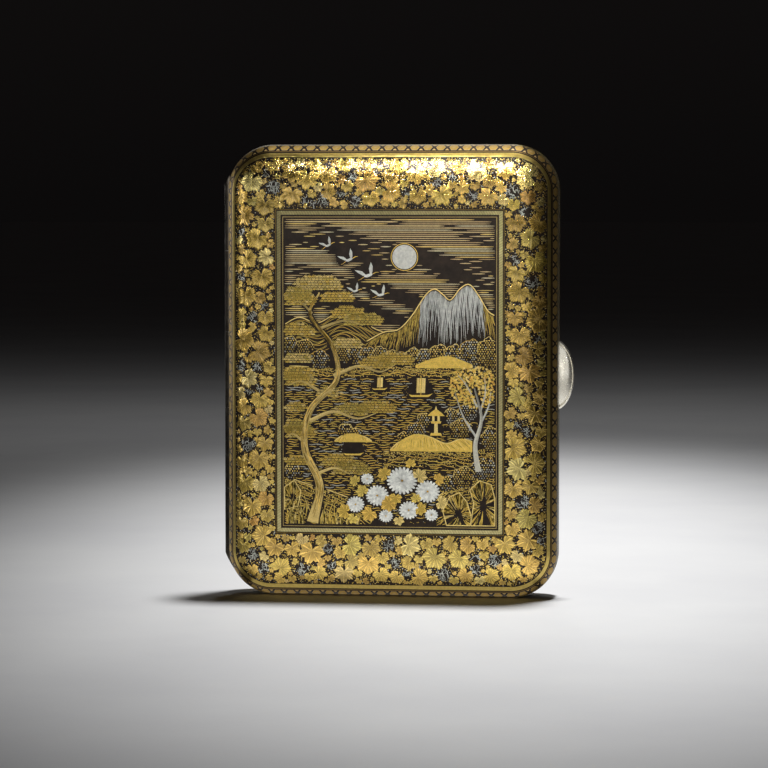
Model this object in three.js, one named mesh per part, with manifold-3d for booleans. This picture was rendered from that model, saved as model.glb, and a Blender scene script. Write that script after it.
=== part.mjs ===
// A hinged pocket cigarette case: two dished iron half-shells with silver-gilt rims and gilt liners,
// a five-knuckle side hinge, a sprung thumb catch and an elastic retaining strap in each half.
// The closed case stands on its short end. Millimetres, +Z up, the lid faces -Y, the hinge is on the left.
import * as THREE from "three";
import { mergeVertices } from "three/addons/utils/BufferGeometryUtils.js";
import Module from "manifold-3d";

const wasm = await Module();
wasm.setup();

// ---- driving dimensions -------------------------------------------------
const W = 88, H = 120;               // body outline, width (X) and height (Z)
const HALF_DEPTH = 9.6;              // one half, from the parting plane to its face
const CORNER_R = 12.2;               // outline corner radius in the front view
const ROLL_X = 8.7, ROLL_Z = 11.8;   // how far the rolled edge reaches in from the sides and from the ends
const SIDE_FLAT = 2.6;               // the wall is upright as far as this from the parting plane
const SEAM = 0.15;                   // half of the parting gap
const IRON_T = 0.8;                  // shell wall
const RIM_T = 0.6, RIM_W = 3.0;      // rim flange: thickness and width
const RIM_IN = 0.95, RIM_UP_T = 0.8, RIM_UP = 2.6; // rim upstand behind the shell wall
const LINER_S = 3.15, LINER_T = 0.35, LINER_GAP = 0.15;
const HINGE_OUT = 0.2;               // hinge axis beyond the outline
const KNUCKLE_R = 1.45, KNUCKLE_BORE = 0.72, PIN_R = 0.65, GROOVE_R = 1.65;
const KNUCKLE_Z = [5.7, 28.1, 49.8, 70.1, 91.8, 114.2]; // knuckle joints, from the foot of the hinge
const KNUCKLE_GAP = 0.12;
const BEVEL = 1.8;                   // slope at which the hinge's ends are filed off
const LUG_Z = 59.0, LUG_Y = 3.2;     // centre of the thumb piece, in the back half's edge
const LUG_HALF_H = 9.1, LUG_OUT = 3.9, LUG_HALF_D = 2.4, LUG_IN = 2.2;
const LUG_CLEAR = 0.25;
const PRESS = 0.8;                   // travel of the thumb piece
const STRAP_W = 9, STRAP_T = 0.8, STRAP_D = 2.6;
const BODY_X = -((W / 2 + LUG_OUT) - (W / 2 + HINGE_OUT + KNUCKLE_R)) / 2; // centres the whole object on X = 0

const XR = W / 2, ZC = H / 2, AXIS_X = -W / 2 - HINGE_OUT;

// ---- materials ----------------------------------------------------------
const mat = (color, roughness, metalness) => new THREE.MeshStandardMaterial({ color, roughness, metalness });
const iron = mat(0x2a2522, 0.42, 0.9);
const silverGilt = mat(0xcfc49a, 0.3, 1.0);
const gilt = mat(0xd9ae52, 0.28, 1.0);
const silver = mat(0xcfccc4, 0.3, 1.0);
const steel = mat(0x9a9a98, 0.35, 1.0);
const elastic = mat(0x8a7a55, 0.9, 0.0);

// ---- solids -------------------------------------------------------------
function solid(geometry, matrix) {
  let g = geometry.index ? geometry.toNonIndexed() : geometry.clone();
  const bare = new THREE.BufferGeometry().setAttribute("position", g.getAttribute("position").clone());
  if (matrix) bare.applyMatrix4(matrix);
  const m = mergeVertices(bare, 1e-4);
  return new wasm.Manifold(new wasm.Mesh({
    numProp: 3,
    vertProperties: new Float32Array(m.attributes.position.array),
    triVerts: new Uint32Array(m.index.array),
  }));
}
function geometryOf(s) {
  const m = s.getMesh(), v = new Float32Array(m.numVert * 3);
  for (let i = 0; i < m.numVert; i++) v.set(m.vertProperties.subarray(i * m.numProp, i * m.numProp + 3), i * 3);
  const g = new THREE.BufferGeometry().setAttribute("position", new THREE.BufferAttribute(v, 3));
  g.setIndex(new THREE.BufferAttribute(new Uint32Array(m.triVerts), 1));
  g.computeVertexNormals();
  return g;
}
const at = (x, y, z) => new THREE.Matrix4().makeTranslation(x, y, z);
const box = (x0, x1, y0, y1, z0, z1) =>
  solid(new THREE.BoxGeometry(x1 - x0, y1 - y0, z1 - z0), at((x0 + x1) / 2, (y0 + y1) / 2, (z0 + z1) / 2));
function rod(r, length, axis, cx, cy, cz, sides = 16, r2 = r) {
  const m = new THREE.Matrix4();
  if (axis === "x") m.makeRotationZ(-Math.PI / 2);
  if (axis === "z") m.makeRotationX(Math.PI / 2);
  m.setPosition(cx, cy, cz);
  return solid(new THREE.CylinderGeometry(r2, r, length, sides), m);
}

// The outline inset by sx from the sides and sz from the ends: a rounded rectangle in (x, z), counter-clockwise,
// always with the same number of points.
const ARC = 8;
function outline(sx, sz) {
  const hx = W / 2 - CORNER_R, hz = H / 2 - CORNER_R, out = [];
  [[hx, hz, 0], [-hx, hz, 1], [-hx, -hz, 2], [hx, -hz, 3]].forEach(([cx, cz, q]) => {
    const arc = new THREE.EllipseCurve(cx, cz, CORNER_R - sx, CORNER_R - sz, (q * Math.PI) / 2, ((q + 1) * Math.PI) / 2);
    arc.getPoints(ARC).forEach((p) => out.push([p.x, p.y + ZC]));
  });
  return out;
}
// A loft through rings of the outline at (side inset, end inset, depth). side is -1 for the lid and +1 for the back.
// open: the first and last rings are closed with flat caps; otherwise the section closes on itself.
function loft(section, side, open) {
  const rings = section.map(([sx, sz, d]) => outline(sx, sz).map(([x, z]) => new THREE.Vector3(x, side * d, z)));
  const n = rings[0].length, tri = [];
  const quad = (a, b, c, d) => tri.push(a, b, c, a, c, d);
  const last = open ? rings.length - 1 : rings.length;
  for (let i = 0; i < last; i++) {
    const p = rings[i], q = rings[(i + 1) % rings.length];
    for (let k = 0; k < n; k++) quad(p[k], p[(k + 1) % n], q[(k + 1) % n], q[k]);
  }
  if (open) {
    const a = rings[0], b = rings[rings.length - 1];
    for (let k = 1; k < n - 1; k++) { tri.push(a[0], a[k + 1], a[k]); tri.push(b[0], b[k], b[k + 1]); }
  }
  const build = (list) => new THREE.BufferGeometry().setFromPoints(list);
  let s = solid(build(tri));
  if (s.volume() < 0) {
    const flipped = [];
    for (let i = 0; i < tri.length; i += 3) flipped.push(tri[i], tri[i + 2], tri[i + 1]);
    s = solid(build(flipped));
  }
  return s;
}

// Rolled edge: quarter ellipses from the upright wall to the flat face, set in from the shell's outside by t.
const ROLL_STEPS = 8;
const rollAt = (t, a, wall = 0) => {
  const u = 1 - Math.cos(a);
  return [Math.max(wall, t + (ROLL_X - t) * u), Math.max(wall, t + (ROLL_Z - t) * u), SIDE_FLAT + (HALF_DEPTH - SIDE_FLAT - t) * Math.sin(a)];
};
function roll(t, from = 0, wall = 0) {
  const out = [];
  for (let i = 0; i <= ROLL_STEPS; i++) out.push(rollAt(t, from + (i / ROLL_STEPS) * (Math.PI / 2 - from), wall));
  return out;
}
function shellSection() {
  const d0 = SEAM + RIM_T + 0.05;
  return [...[[0, 0, d0], ...roll(0)].reverse(), [IRON_T, IRON_T, d0], ...roll(IRON_T)];
}
function rimSection() {
  const f = SEAM + RIM_T;
  return [[0, SEAM], [0, f], [RIM_IN, f], [RIM_IN, RIM_UP], [RIM_IN + RIM_UP_T, RIM_UP], [RIM_IN + RIM_UP_T, f], [RIM_W, f], [RIM_W, SEAM]]
    .map(([inset, d]) => [inset, inset, d]);
}
// Liner: an upright wall just inside the rim flange, then the shell's own roll, kept clear of it.
function linerSection() {
  const side = (t, wall) => {
    const from = Math.acos(1 - (wall - t) / (ROLL_Z - t));
    return [[wall, wall, SEAM + 0.05], ...roll(t, from, wall)];
  };
  return [...side(IRON_T + LINER_GAP, LINER_S).reverse(), ...side(IRON_T + LINER_GAP + LINER_T, LINER_S + LINER_T)];
}

// ---- hinge --------------------------------------------------------------
const groove = rod(GROOVE_R, KNUCKLE_Z[5] - KNUCKLE_Z[0] + 1.2, "z", AXIS_X, 0, (KNUCKLE_Z[0] + KNUCKLE_Z[5]) / 2, 32);
const FOOT = [0.4, 2.55, 0.22, 0.68]; // a knuckle's foot: inset from, to, depth from, to
// What the slanted end of the hinge leaves out: everything beyond a line that runs out from the wall to the barrel's outer edge.
function slant(end) {
  const inn = -XR + 1.3, out = AXIS_X - KNUCKLE_R - 0.6, z = end > 0 ? KNUCKLE_Z[5] : KNUCKLE_Z[0];
  const shape = new THREE.Shape();
  shape.moveTo(inn, z + end * 0.001);
  shape.lineTo(out, z - end * BEVEL * (inn - out));
  shape.lineTo(out, z + end * 3);
  shape.lineTo(inn, z + end * 3);
  const g = new THREE.ExtrudeGeometry(shape, { depth: 4, bevelEnabled: false });
  g.applyMatrix4(new THREE.Matrix4().makeRotationX(Math.PI / 2)); // shape y -> Z, depth -> -Y
  g.translate(0, 2, 0);
  return solid(g);
}
function knuckle(i) {
  const side = i % 2 ? -1 : 1; // knuckles 2 and 4 are on the lid
  const z0 = KNUCKLE_Z[i] + (i ? KNUCKLE_GAP / 2 : 0), z1 = KNUCKLE_Z[i + 1] - (i < 4 ? KNUCKLE_GAP / 2 : 0);
  let s = rod(KNUCKLE_R, z1 - z0, "z", AXIS_X, 0, (z0 + z1) / 2, 32);
  const f0 = i === 0 ? z0 + 6.5 : z0 + 0.3, f1 = i === 4 ? z1 - 6.5 : z1 - 0.3;
  const d0 = side * FOOT[2], d1 = side * FOOT[3];
  s = s.add(box(-XR + FOOT[0], -XR + FOOT[1], Math.min(d0, d1), Math.max(d0, d1), f0, f1));
  s = s.subtract(rod(KNUCKLE_BORE, z1 - z0 + 2, "z", AXIS_X, 0, (z0 + z1) / 2, 24));
  if (i === 0) s = s.subtract(slant(-1));
  if (i === 4) s = s.subtract(slant(1));
  return s;
}
const hingePin = () => rod(PIN_R, KNUCKLE_Z[5] - KNUCKLE_Z[0], "z", AXIS_X, 0, (KNUCKLE_Z[0] + KNUCKLE_Z[5]) / 2, 20)
  .subtract(slant(-1)).subtract(slant(1));
// Notches in the rim flange for the feet of that half's own knuckles.
function footPockets(side) {
  let s = null;
  for (let i = 0; i < 5; i++) {
    if ((i % 2 ? -1 : 1) !== side) continue;
    const z0 = KNUCKLE_Z[i] + (i ? 0 : 6.2), z1 = KNUCKLE_Z[i + 1] - (i === 4 ? 6.2 : 0);
    const y = [0, side * (SEAM + RIM_T + 0.05)].sort((p, q) => p - q);
    const b = box(-XR - 1, -XR + FOOT[1] + 0.06, y[0], y[1], z0, z1);
    s = s ? s.add(b) : b;
  }
  return s;
}

// ---- thumb piece --------------------------------------------------------
// A domed lug with an oval skirt that slides in an oval opening in the back half's edge.
function ovalPrism(hz, hy, x0, x1, sides = 36) {
  const shape = new THREE.Shape();
  for (let i = 0; i < sides; i++) {
    const a = (i / sides) * 2 * Math.PI;
    const p = [hz * Math.cos(a), hy * Math.sin(a)];
    i ? shape.lineTo(...p) : shape.moveTo(...p);
  }
  const g = new THREE.ExtrudeGeometry(shape, { depth: x1 - x0, bevelEnabled: false });
  // shape x -> Z, shape y -> -Y, extrusion -> X
  g.applyMatrix4(new THREE.Matrix4().makeBasis(new THREE.Vector3(0, 0, 1), new THREE.Vector3(0, -1, 0), new THREE.Vector3(1, 0, 0)));
  g.translate(x0, LUG_Y, LUG_Z);
  return solid(g);
}
function thumbPiece() {
  const sides = 36, rings = 6, pts = [], tri = [];
  const ring = (ky, kz, x) => {
    const out = [];
    for (let i = 0; i < sides; i++) {
      const a = (i / sides) * 2 * Math.PI;
      out.push(new THREE.Vector3(x, LUG_Y - LUG_HALF_D * ky * Math.sin(a), LUG_Z + LUG_HALF_H * kz * Math.cos(a)));
    }
    return out;
  };
  pts.push(ring(1, 1, XR - LUG_IN));
  for (let j = 0; j < rings; j++) {
    const h = Math.sin((j / rings) * Math.PI / 2);
    pts.push(ring((1 - h ** 2.6) ** (1 / 2.6), Math.sqrt(1 - h * h), XR + LUG_OUT * h));
  }
  for (let j = 0; j + 1 < pts.length; j++)
    for (let i = 0; i < sides; i++) {
      const a = pts[j][i], b = pts[j][(i + 1) % sides], c = pts[j + 1][(i + 1) % sides], d = pts[j + 1][i];
      tri.push(a, b, c, a, c, d);
    }
  const base = pts[0], top = pts[pts.length - 1];
  const tip = new THREE.Vector3(XR + LUG_OUT, LUG_Y, LUG_Z), foot = new THREE.Vector3(XR - LUG_IN, LUG_Y, LUG_Z);
  for (let i = 0; i < sides; i++) {
    tri.push(top[i], top[(i + 1) % sides], tip);
    tri.push(base[(i + 1) % sides], base[i], foot);
  }
  let s = solid(new THREE.BufferGeometry().setFromPoints(tri));
  if (s.volume() < 0) {
    const f = [];
    for (let i = 0; i < tri.length; i += 3) f.push(tri[i], tri[i + 2], tri[i + 1]);
    s = solid(new THREE.BufferGeometry().setFromPoints(f));
  }
  return s;
}
const lugOpening = ovalPrism(LUG_HALF_H + LUG_CLEAR, LUG_HALF_D + LUG_CLEAR, XR - RIM_W - 0.1, XR + 2);

// ---- catch --------------------------------------------------------------
const LINER_IN = XR - LINER_S - LINER_T; // the liner wall's inner face, on the right
const BAR_X = [38.3, 39.1], BAR_HALF = 6.0, HOOK_HALF = 2.6;
const HOUSING = { x0: 35.5, x1: LINER_IN - 0.1, d0: 0.35, d1: 4.9, half: 9.0, t: 0.5 };
const STEM = { y0: 2.4, y1: 4.0, half: 2.2 };
function latchBar() {
  let s = box(BAR_X[0], BAR_X[1], 0.95, 4.2, LUG_Z - BAR_HALF, LUG_Z + BAR_HALF);          // carriage
  s = s.add(box(BAR_X[1] - 0.1, XR - LUG_IN - 0.05, STEM.y0, STEM.y1, LUG_Z - STEM.half, LUG_Z + STEM.half)); // stem to the lug
  s = s.add(box(BAR_X[0], BAR_X[1], -1.95, 1.2, LUG_Z - HOOK_HALF, LUG_Z + HOOK_HALF));      // hook arm
  const nose = new THREE.Shape();                                                             // nose with a lead-in slope
  nose.moveTo(BAR_X[1] - 0.1, -1.95); nose.lineTo(BAR_X[1] + 0.15, -1.95); nose.lineTo(BAR_X[1] + 0.55, -1.45);
  nose.lineTo(BAR_X[1] + 0.55, -1.15); nose.lineTo(BAR_X[1] - 0.1, -1.15);
  const g = new THREE.ExtrudeGeometry(nose, { depth: 2 * HOOK_HALF, bevelEnabled: false });
  g.translate(0, 0, LUG_Z - HOOK_HALF);
  return s.add(solid(g));
}
function latchHousing() {
  const h = HOUSING;
  let s = box(h.x0, h.x1, h.d0, h.d1, LUG_Z - h.half, LUG_Z + h.half);
  s = s.subtract(box(h.x0 + h.t, h.x1 + 1, h.d0 + h.t, h.d1 - h.t, LUG_Z - h.half + h.t, LUG_Z + h.half - h.t));
  s = s.subtract(box(BAR_X[0] - PRESS - 0.25, BAR_X[1] + 0.25, h.d0 - 1, h.d0 + 1, LUG_Z - HOOK_HALF - 0.25, LUG_Z + HOOK_HALF + 0.25));
  // two ears on the liner wall take the rivets
  for (const k of [-1, 1]) {
    const z0 = LUG_Z + k * h.half, z1 = LUG_Z + k * (h.half + 3);
    s = s.add(box(h.x1 - 0.5, h.x1, 1.2, 4.2, Math.min(z0 - k * 0.2, z1), Math.max(z0 - k * 0.2, z1)));
    s = s.subtract(rod(0.55, 3, "x", h.x1, 2.7, LUG_Z + k * (h.half + 1.6), 12));
  }
  return s;
}
function latchKeeper() {
  const x0 = 36.0, x1 = LINER_IN - 0.1, half = 8;
  let s = box(x0, x1, -0.95, -0.35, LUG_Z - half, LUG_Z + half);
  s = s.add(box(x1 - 0.5, x1, -4.2, -0.5, LUG_Z - half, LUG_Z + half));
  s = s.subtract(box(BAR_X[0] - PRESS - 0.3, x1 - 0.55, -2, 1, LUG_Z - HOOK_HALF - 0.4, LUG_Z + HOOK_HALF + 0.4));
  for (const k of [-1, 1]) s = s.subtract(rod(0.55, 3, "x", x1, -2.9, LUG_Z + k * 5.6, 12));
  return s;
}
// A rivet with a domed head on the inside, its shank through the liner wall. axis x or z.
function rivetX(y, z) {
  const x = LINER_IN - 0.1 - 0.5;
  return rod(0.45, 1.0, "x", x + 0.45, y, z, 8).add(rod(0.95, 0.35, "x", x - 0.05 - 0.175, y, z, 12)).add(rod(0.45, 0.3, "x", x - 0.05, y, z, 8));
}
function latchSpring() {
  const pts = [], n = 14, half = 7.2, x0 = HOUSING.x0 + HOUSING.t + 0.08, rise = BAR_X[0] - 0.05 - x0 - 0.25;
  const mid = (i) => { const u = (i / n) * 2 - 1; return [x0 + 0.125 + rise * Math.cos((u * Math.PI) / 2) ** 1.5, LUG_Z + u * half]; };
  const shape = new THREE.Shape(), a = [], b = [];
  for (let i = 0; i <= n; i++) {
    const p = mid(Math.max(0, i - 1)), q = mid(Math.min(n, i + 1)), c = mid(i);
    const tx = q[0] - p[0], tz = q[1] - p[1], L = Math.hypot(tx, tz), nx = tz / L, nz = -tx / L;
    a.push([c[0] + nx * 0.11, c[1] + nz * 0.11]); b.push([c[0] - nx * 0.11, c[1] - nz * 0.11]);
  }
  a.concat(b.reverse()).forEach((p, i) => (i ? shape.lineTo(...p) : shape.moveTo(...p)));
  const g = new THREE.ExtrudeGeometry(shape, { depth: 2.2, bevelEnabled: false });
  g.applyMatrix4(new THREE.Matrix4().makeRotationX(Math.PI / 2)); // shape y -> Z, depth -> -Y
  g.translate(0, 3.5, 0);
  return solid(g);
}

// ---- straps -------------------------------------------------------------
const CLIP = { half: 8.6, d0: 1.5, d1: 4.5, t: 0.5, jaw: 3.2, jawHalf: 5.6 };
function strapClip(side, end) {
  // end +1 is the upper wall, -1 the lower one; z runs inwards from the liner wall's inner face
  const wall = end > 0 ? H - LINER_S - LINER_T - 0.1 : LINER_S + LINER_T + 0.1, in_ = -end;
  const zb = (a, b) => [Math.min(wall + in_ * a, wall + in_ * b), Math.max(wall + in_ * a, wall + in_ * b)];
  const yb = (a, b) => [Math.min(side * a, side * b), Math.max(side * a, side * b)];
  let s = box(-CLIP.half, CLIP.half, ...yb(CLIP.d0, CLIP.d1), ...zb(0, CLIP.t));
  s = s.add(box(-CLIP.jawHalf, CLIP.jawHalf, ...yb(STRAP_D - 0.75, STRAP_D + STRAP_T + 0.75), ...zb(0.2, CLIP.t + CLIP.jaw)));
  s = s.subtract(box(-STRAP_W / 2 - 0.15, STRAP_W / 2 + 0.15, ...yb(STRAP_D - 0.12, STRAP_D + STRAP_T + 0.12), ...zb(CLIP.t + 0.1, CLIP.t + CLIP.jaw + 1)));
  for (const k of [-1, 1]) s = s.subtract(rod(0.55, 4, "z", k * 7.2, side * 3.0, wall, 12));
  return s;
}
function clipRivet(side, end, k) {
  const wall = end > 0 ? H - LINER_S - LINER_T - 0.1 : LINER_S + LINER_T + 0.1, in_ = -end;
  const y = side * 3.0, x = k * 7.2, head = wall + in_ * (CLIP.t + 0.05);
  return rod(0.45, 1.0, "z", x, y, wall + in_ * 0.05, 8)
    .add(rod(0.9, 0.35, "z", x, y, head + in_ * 0.175, 12))
    .add(rod(0.45, 0.3, "z", x, y, head, 8));
}
function strap(side) {
  const y0 = Math.min(side * STRAP_D, side * (STRAP_D + STRAP_T)), y1 = Math.max(side * STRAP_D, side * (STRAP_D + STRAP_T));
  const e = LINER_S + LINER_T + 0.1 + CLIP.t + 0.3;
  return box(-STRAP_W / 2, STRAP_W / 2, y0, y1, e, H - e);
}

// ---- assembly -----------------------------------------------------------
const root = new THREE.Group();
root.position.x = BODY_X;
const lid = new THREE.Group(), back = new THREE.Group(), push = new THREE.Group();
root.add(back, lid, push);
function add(group, name, s, material) {
  const mesh = new THREE.Mesh(geometryOf(s), material);
  mesh.name = name;
  group.add(mesh);
}

function half(side, group, name) {
  const cut = (s) => (side > 0 ? s.subtract(lugOpening) : s); // only the back half carries the thumb piece
  add(group, name + "_shell", cut(loft(shellSection(), side, true).subtract(groove)), iron);
  add(group, name + "_rim", cut(loft(rimSection(), side, false).subtract(groove).subtract(footPockets(side))), silverGilt);
  let liner = loft(linerSection(), side, true);
  for (const end of [-1, 1]) for (const k of [-1, 1])
    liner = liner.subtract(rod(0.55, 3, "z", k * 7.2, side * 3.0, end > 0 ? H - LINER_S - 0.15 : LINER_S + 0.15, 12));
  if (side > 0) {
    liner = liner.subtract(box(XR - LINER_S - LINER_T - 1, XR - LINER_S + 0.5, STEM.y0 - 0.25, STEM.y1 + 0.25, LUG_Z - STEM.half - 0.3, LUG_Z + STEM.half + 0.3));
    for (const k of [-1, 1]) liner = liner.subtract(rod(0.55, 3, "x", XR - LINER_S, 2.7, LUG_Z + k * (HOUSING.half + 1.6), 12));
  } else for (const k of [-1, 1]) liner = liner.subtract(rod(0.55, 3, "x", XR - LINER_S, -2.9, LUG_Z + k * 5.6, 12));
  add(group, name + "_liner", liner, gilt);
  add(group, name + "_strap", strap(side), elastic);
  [["upper", 1], ["lower", -1]].forEach(([word, end]) => {
    add(group, name + "_strap_clip_" + word, strapClip(side, end), gilt);
    add(group, name + "_clip_rivet_" + word + "_left", clipRivet(side, end, -1), silver);
    add(group, name + "_clip_rivet_" + word + "_right", clipRivet(side, end, 1), silver);
  });
}
half(1, back, "back");
half(-1, lid, "lid");
for (let i = 0; i < 5; i++) add(i % 2 ? lid : back, "hinge_knuckle_" + (i + 1), knuckle(i), silver);
add(back, "hinge_pin", hingePin(), steel);
add(back, "latch_housing", latchHousing(), gilt);
add(back, "housing_rivet_upper", rivetX(2.7, LUG_Z + HOUSING.half + 1.6), silver);
add(back, "housing_rivet_lower", rivetX(2.7, LUG_Z - HOUSING.half - 1.6), silver);
add(back, "latch_spring", latchSpring(), steel);
add(lid, "latch_keeper", latchKeeper(), gilt);
add(lid, "keeper_rivet_upper", rivetX(-2.9, LUG_Z + 5.6), silver);
add(lid, "keeper_rivet_lower", rivetX(-2.9, LUG_Z - 5.6), silver);
add(push, "thumb_piece", thumbPiece(), silver);
add(push, "latch_bar", latchBar(), steel);

export default root;
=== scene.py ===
"""Looks of the hinged cigarette case: damascened iron shells, gold and silver inlay in relief, silver fittings, gilt inside."""
import math

import bmesh
import bpy
import numpy as np
from mathutils import Matrix, Vector
from mathutils.geometry import delaunay_2d_cdt


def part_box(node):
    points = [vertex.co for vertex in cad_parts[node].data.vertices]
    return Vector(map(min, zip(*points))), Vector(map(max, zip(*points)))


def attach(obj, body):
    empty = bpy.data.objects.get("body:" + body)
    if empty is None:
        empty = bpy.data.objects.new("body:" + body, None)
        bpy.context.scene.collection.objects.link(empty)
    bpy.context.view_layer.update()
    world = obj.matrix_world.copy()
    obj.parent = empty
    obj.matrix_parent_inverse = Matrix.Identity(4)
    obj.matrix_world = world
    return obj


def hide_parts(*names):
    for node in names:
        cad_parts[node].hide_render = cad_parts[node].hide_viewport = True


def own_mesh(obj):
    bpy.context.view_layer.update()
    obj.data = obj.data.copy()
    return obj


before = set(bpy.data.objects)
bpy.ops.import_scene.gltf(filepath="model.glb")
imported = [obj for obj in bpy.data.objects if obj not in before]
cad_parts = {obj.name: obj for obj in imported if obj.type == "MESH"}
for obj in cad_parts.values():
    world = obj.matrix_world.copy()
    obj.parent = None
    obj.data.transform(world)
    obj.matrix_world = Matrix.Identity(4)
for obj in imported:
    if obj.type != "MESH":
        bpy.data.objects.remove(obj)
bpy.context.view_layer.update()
MM = 0.001

# ---- the body's surface, in millimetres --------------------------------------------------------------------------
W, H, HALF, R = 88.0, 120.0, 9.6, 12.2
ROLL_X, ROLL_Z, SIDE_FLAT = 8.7, 11.8, 2.6
B = HALF - SIDE_FLAT
BX = -1.125
XR, ZR = W / 2, H / 2
HX, HZ = XR - R, ZR - R
SHELL_EDGE = 0.8
SIDES = {"lid": -1, "back": 1}
BODY = {"lid": "lid", "back": "case_back"}


def u_of(x, z):
    """0 at the outline, 1 on the flat face; x and z are measured from the middle of the body."""
    ax, az = np.abs(x), np.abs(z)
    u = np.ones_like(ax)
    side = (ax > HX) & (az <= HZ)
    end = (az > HZ) & (ax <= HX)
    u[side] = (XR - ax[side]) / ROLL_X
    u[end] = (ZR - az[end]) / ROLL_Z
    c = (ax > HX) & (az > HZ)
    if c.any():
        px, pz = ax[c] - HX, az[c] - HZ
        lo, hi = np.zeros_like(px), np.ones_like(px)
        for _ in range(26):
            m = (lo + hi) / 2
            out = (px / (R - ROLL_X * m)) ** 2 + (pz / (R - ROLL_Z * m)) ** 2 > 1
            hi = np.where(out, m, hi)
            lo = np.where(out, lo, m)
        u[c] = (lo + hi) / 2
    return np.clip(u, 0.0, 1.0)


def depth(x, z):
    u = u_of(x, z)
    return SIDE_FLAT + B * np.sqrt(np.maximum(u * (2 - u), 0))


def slope(x, z, e=0.02):
    return (depth(x + e, z) - depth(x - e, z)) / (2 * e), (depth(x, z + e) - depth(x, z - e)) / (2 * e)


def normal_at(x, z, side):
    dx, dz = slope(x, z)
    n = np.stack([-dx, np.full_like(dx, side), -dz], -1)
    return n / np.linalg.norm(n, axis=-1, keepdims=True)


def wrap(x0, z0, turn, local, side):
    """Lays flat shapes on the surface. x0, z0, turn: (K,), local: (K, n, 3) in millimetres, the third being height."""
    n0 = normal_at(x0, z0, side)
    t1 = np.stack([np.full_like(x0, -side), np.zeros_like(x0), np.zeros_like(x0)], -1)
    t1 = t1 - n0 * (t1 * n0).sum(-1, keepdims=True)
    t1 /= np.linalg.norm(t1, axis=-1, keepdims=True)
    t2 = np.cross(n0, t1)
    ca, sa = np.cos(turn)[:, None], np.sin(turn)[:, None]
    a = local[..., 0] * ca - local[..., 1] * sa
    b = local[..., 0] * sa + local[..., 1] * ca
    p0 = np.stack([x0, side * depth(x0, z0), z0], -1)
    q = p0[:, None] + a[..., None] * t1[:, None] + b[..., None] * t2[:, None]
    for _ in range(3):
        sh = q.shape[:2]
        fx, fz = q[..., 0].ravel(), q[..., 2].ravel()
        g = side * q[..., 1] - depth(fx, fz).reshape(sh)
        dx, dz = slope(fx, fz)
        grad = np.stack([-dx.reshape(sh), np.full(sh, float(side)), -dz.reshape(sh)], -1)
        step = g / np.maximum((grad * n0[:, None]).sum(-1), 0.15)
        q = q - step[..., None] * n0[:, None]
    q = q + local[..., 2][..., None] * n0[:, None]
    return q


PERIM = 2 * (2 * HX + 2 * HZ) + 2 * math.pi * R


def ring(L, w, side):
    """A point at length L along the outline. w from 0 to 1 is u; below 0 it is millimetres down the upright wall."""
    L = np.mod(L, PERIM)
    u = np.clip(w, 0, 1)
    rx, rz = R - ROLL_X * u, R - ROLL_Z * u
    x, z = np.full_like(L, XR), np.zeros_like(L)
    arc = math.pi * R / 2
    start = 0.0
    # right side going up, then counter-clockwise seen from the front
    legs = [("s", 2 * HZ, 1, -1), ("c", arc, 1, 1), ("t", 2 * HX, 1, 1), ("c", arc, -1, 1), ("s", 2 * HZ, -1, 1), ("c", arc, -1, -1), ("t", 2 * HX, -1, -1), ("c", arc, 1, -1)]
    for i, (kind, length, sx, sz) in enumerate(legs):
        m = (L >= start) & (L < start + length + 1e-9)
        f = (L[m] - start) / length
        if kind == "s":
            x[m] = sx * (HX + rx[m])
            z[m] = (-HZ + 2 * HZ * f) if sx > 0 else (HZ - 2 * HZ * f)
        elif kind == "t":
            z[m] = sz * (HZ + rz[m])
            x[m] = (HX - 2 * HX * f) if sz > 0 else (-HX + 2 * HX * f)
        else:
            a = {1: 0, 3: 1, 5: 2, 7: 3}[i] * math.pi / 2 + f * math.pi / 2
            x[m] = sx * HX + rx[m] * np.cos(a)
            z[m] = sz * HZ + rz[m] * np.sin(a)
        start += length
    d = SIDE_FLAT + B * np.sqrt(np.maximum(u * (2 - u), 0)) + np.minimum(w, 0)
    return np.stack([x, side * d, z], -1)


def ring_point(L, w, h, side):
    L, w, h = np.broadcast_arrays(np.asarray(L, float), np.asarray(w, float), np.asarray(h, float))
    shape = L.shape
    L, w, h = L.ravel(), w.ravel(), h.ravel()
    p = ring(L, w, side)
    a = ring(L + 0.02, w, side) - ring(L - 0.02, w, side)
    w1, w2 = np.where(w < 0, w + 0.01, w + 0.002), np.where(w < 0, w - 0.01, np.maximum(w - 0.002, 0))
    b = ring(L, w1, side) - ring(L, w2, side)
    n = np.cross(a, b)
    n /= np.maximum(np.linalg.norm(n, axis=-1, keepdims=True), 1e-12)
    c = p * np.array([1, 1, 1.0])
    flip = np.where((n * (c - np.array([0, 0, 0]))).sum(-1) < 0, -1.0, 1.0)
    return (p + n * (flip * h)[:, None]).reshape(shape + (3,))


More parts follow.
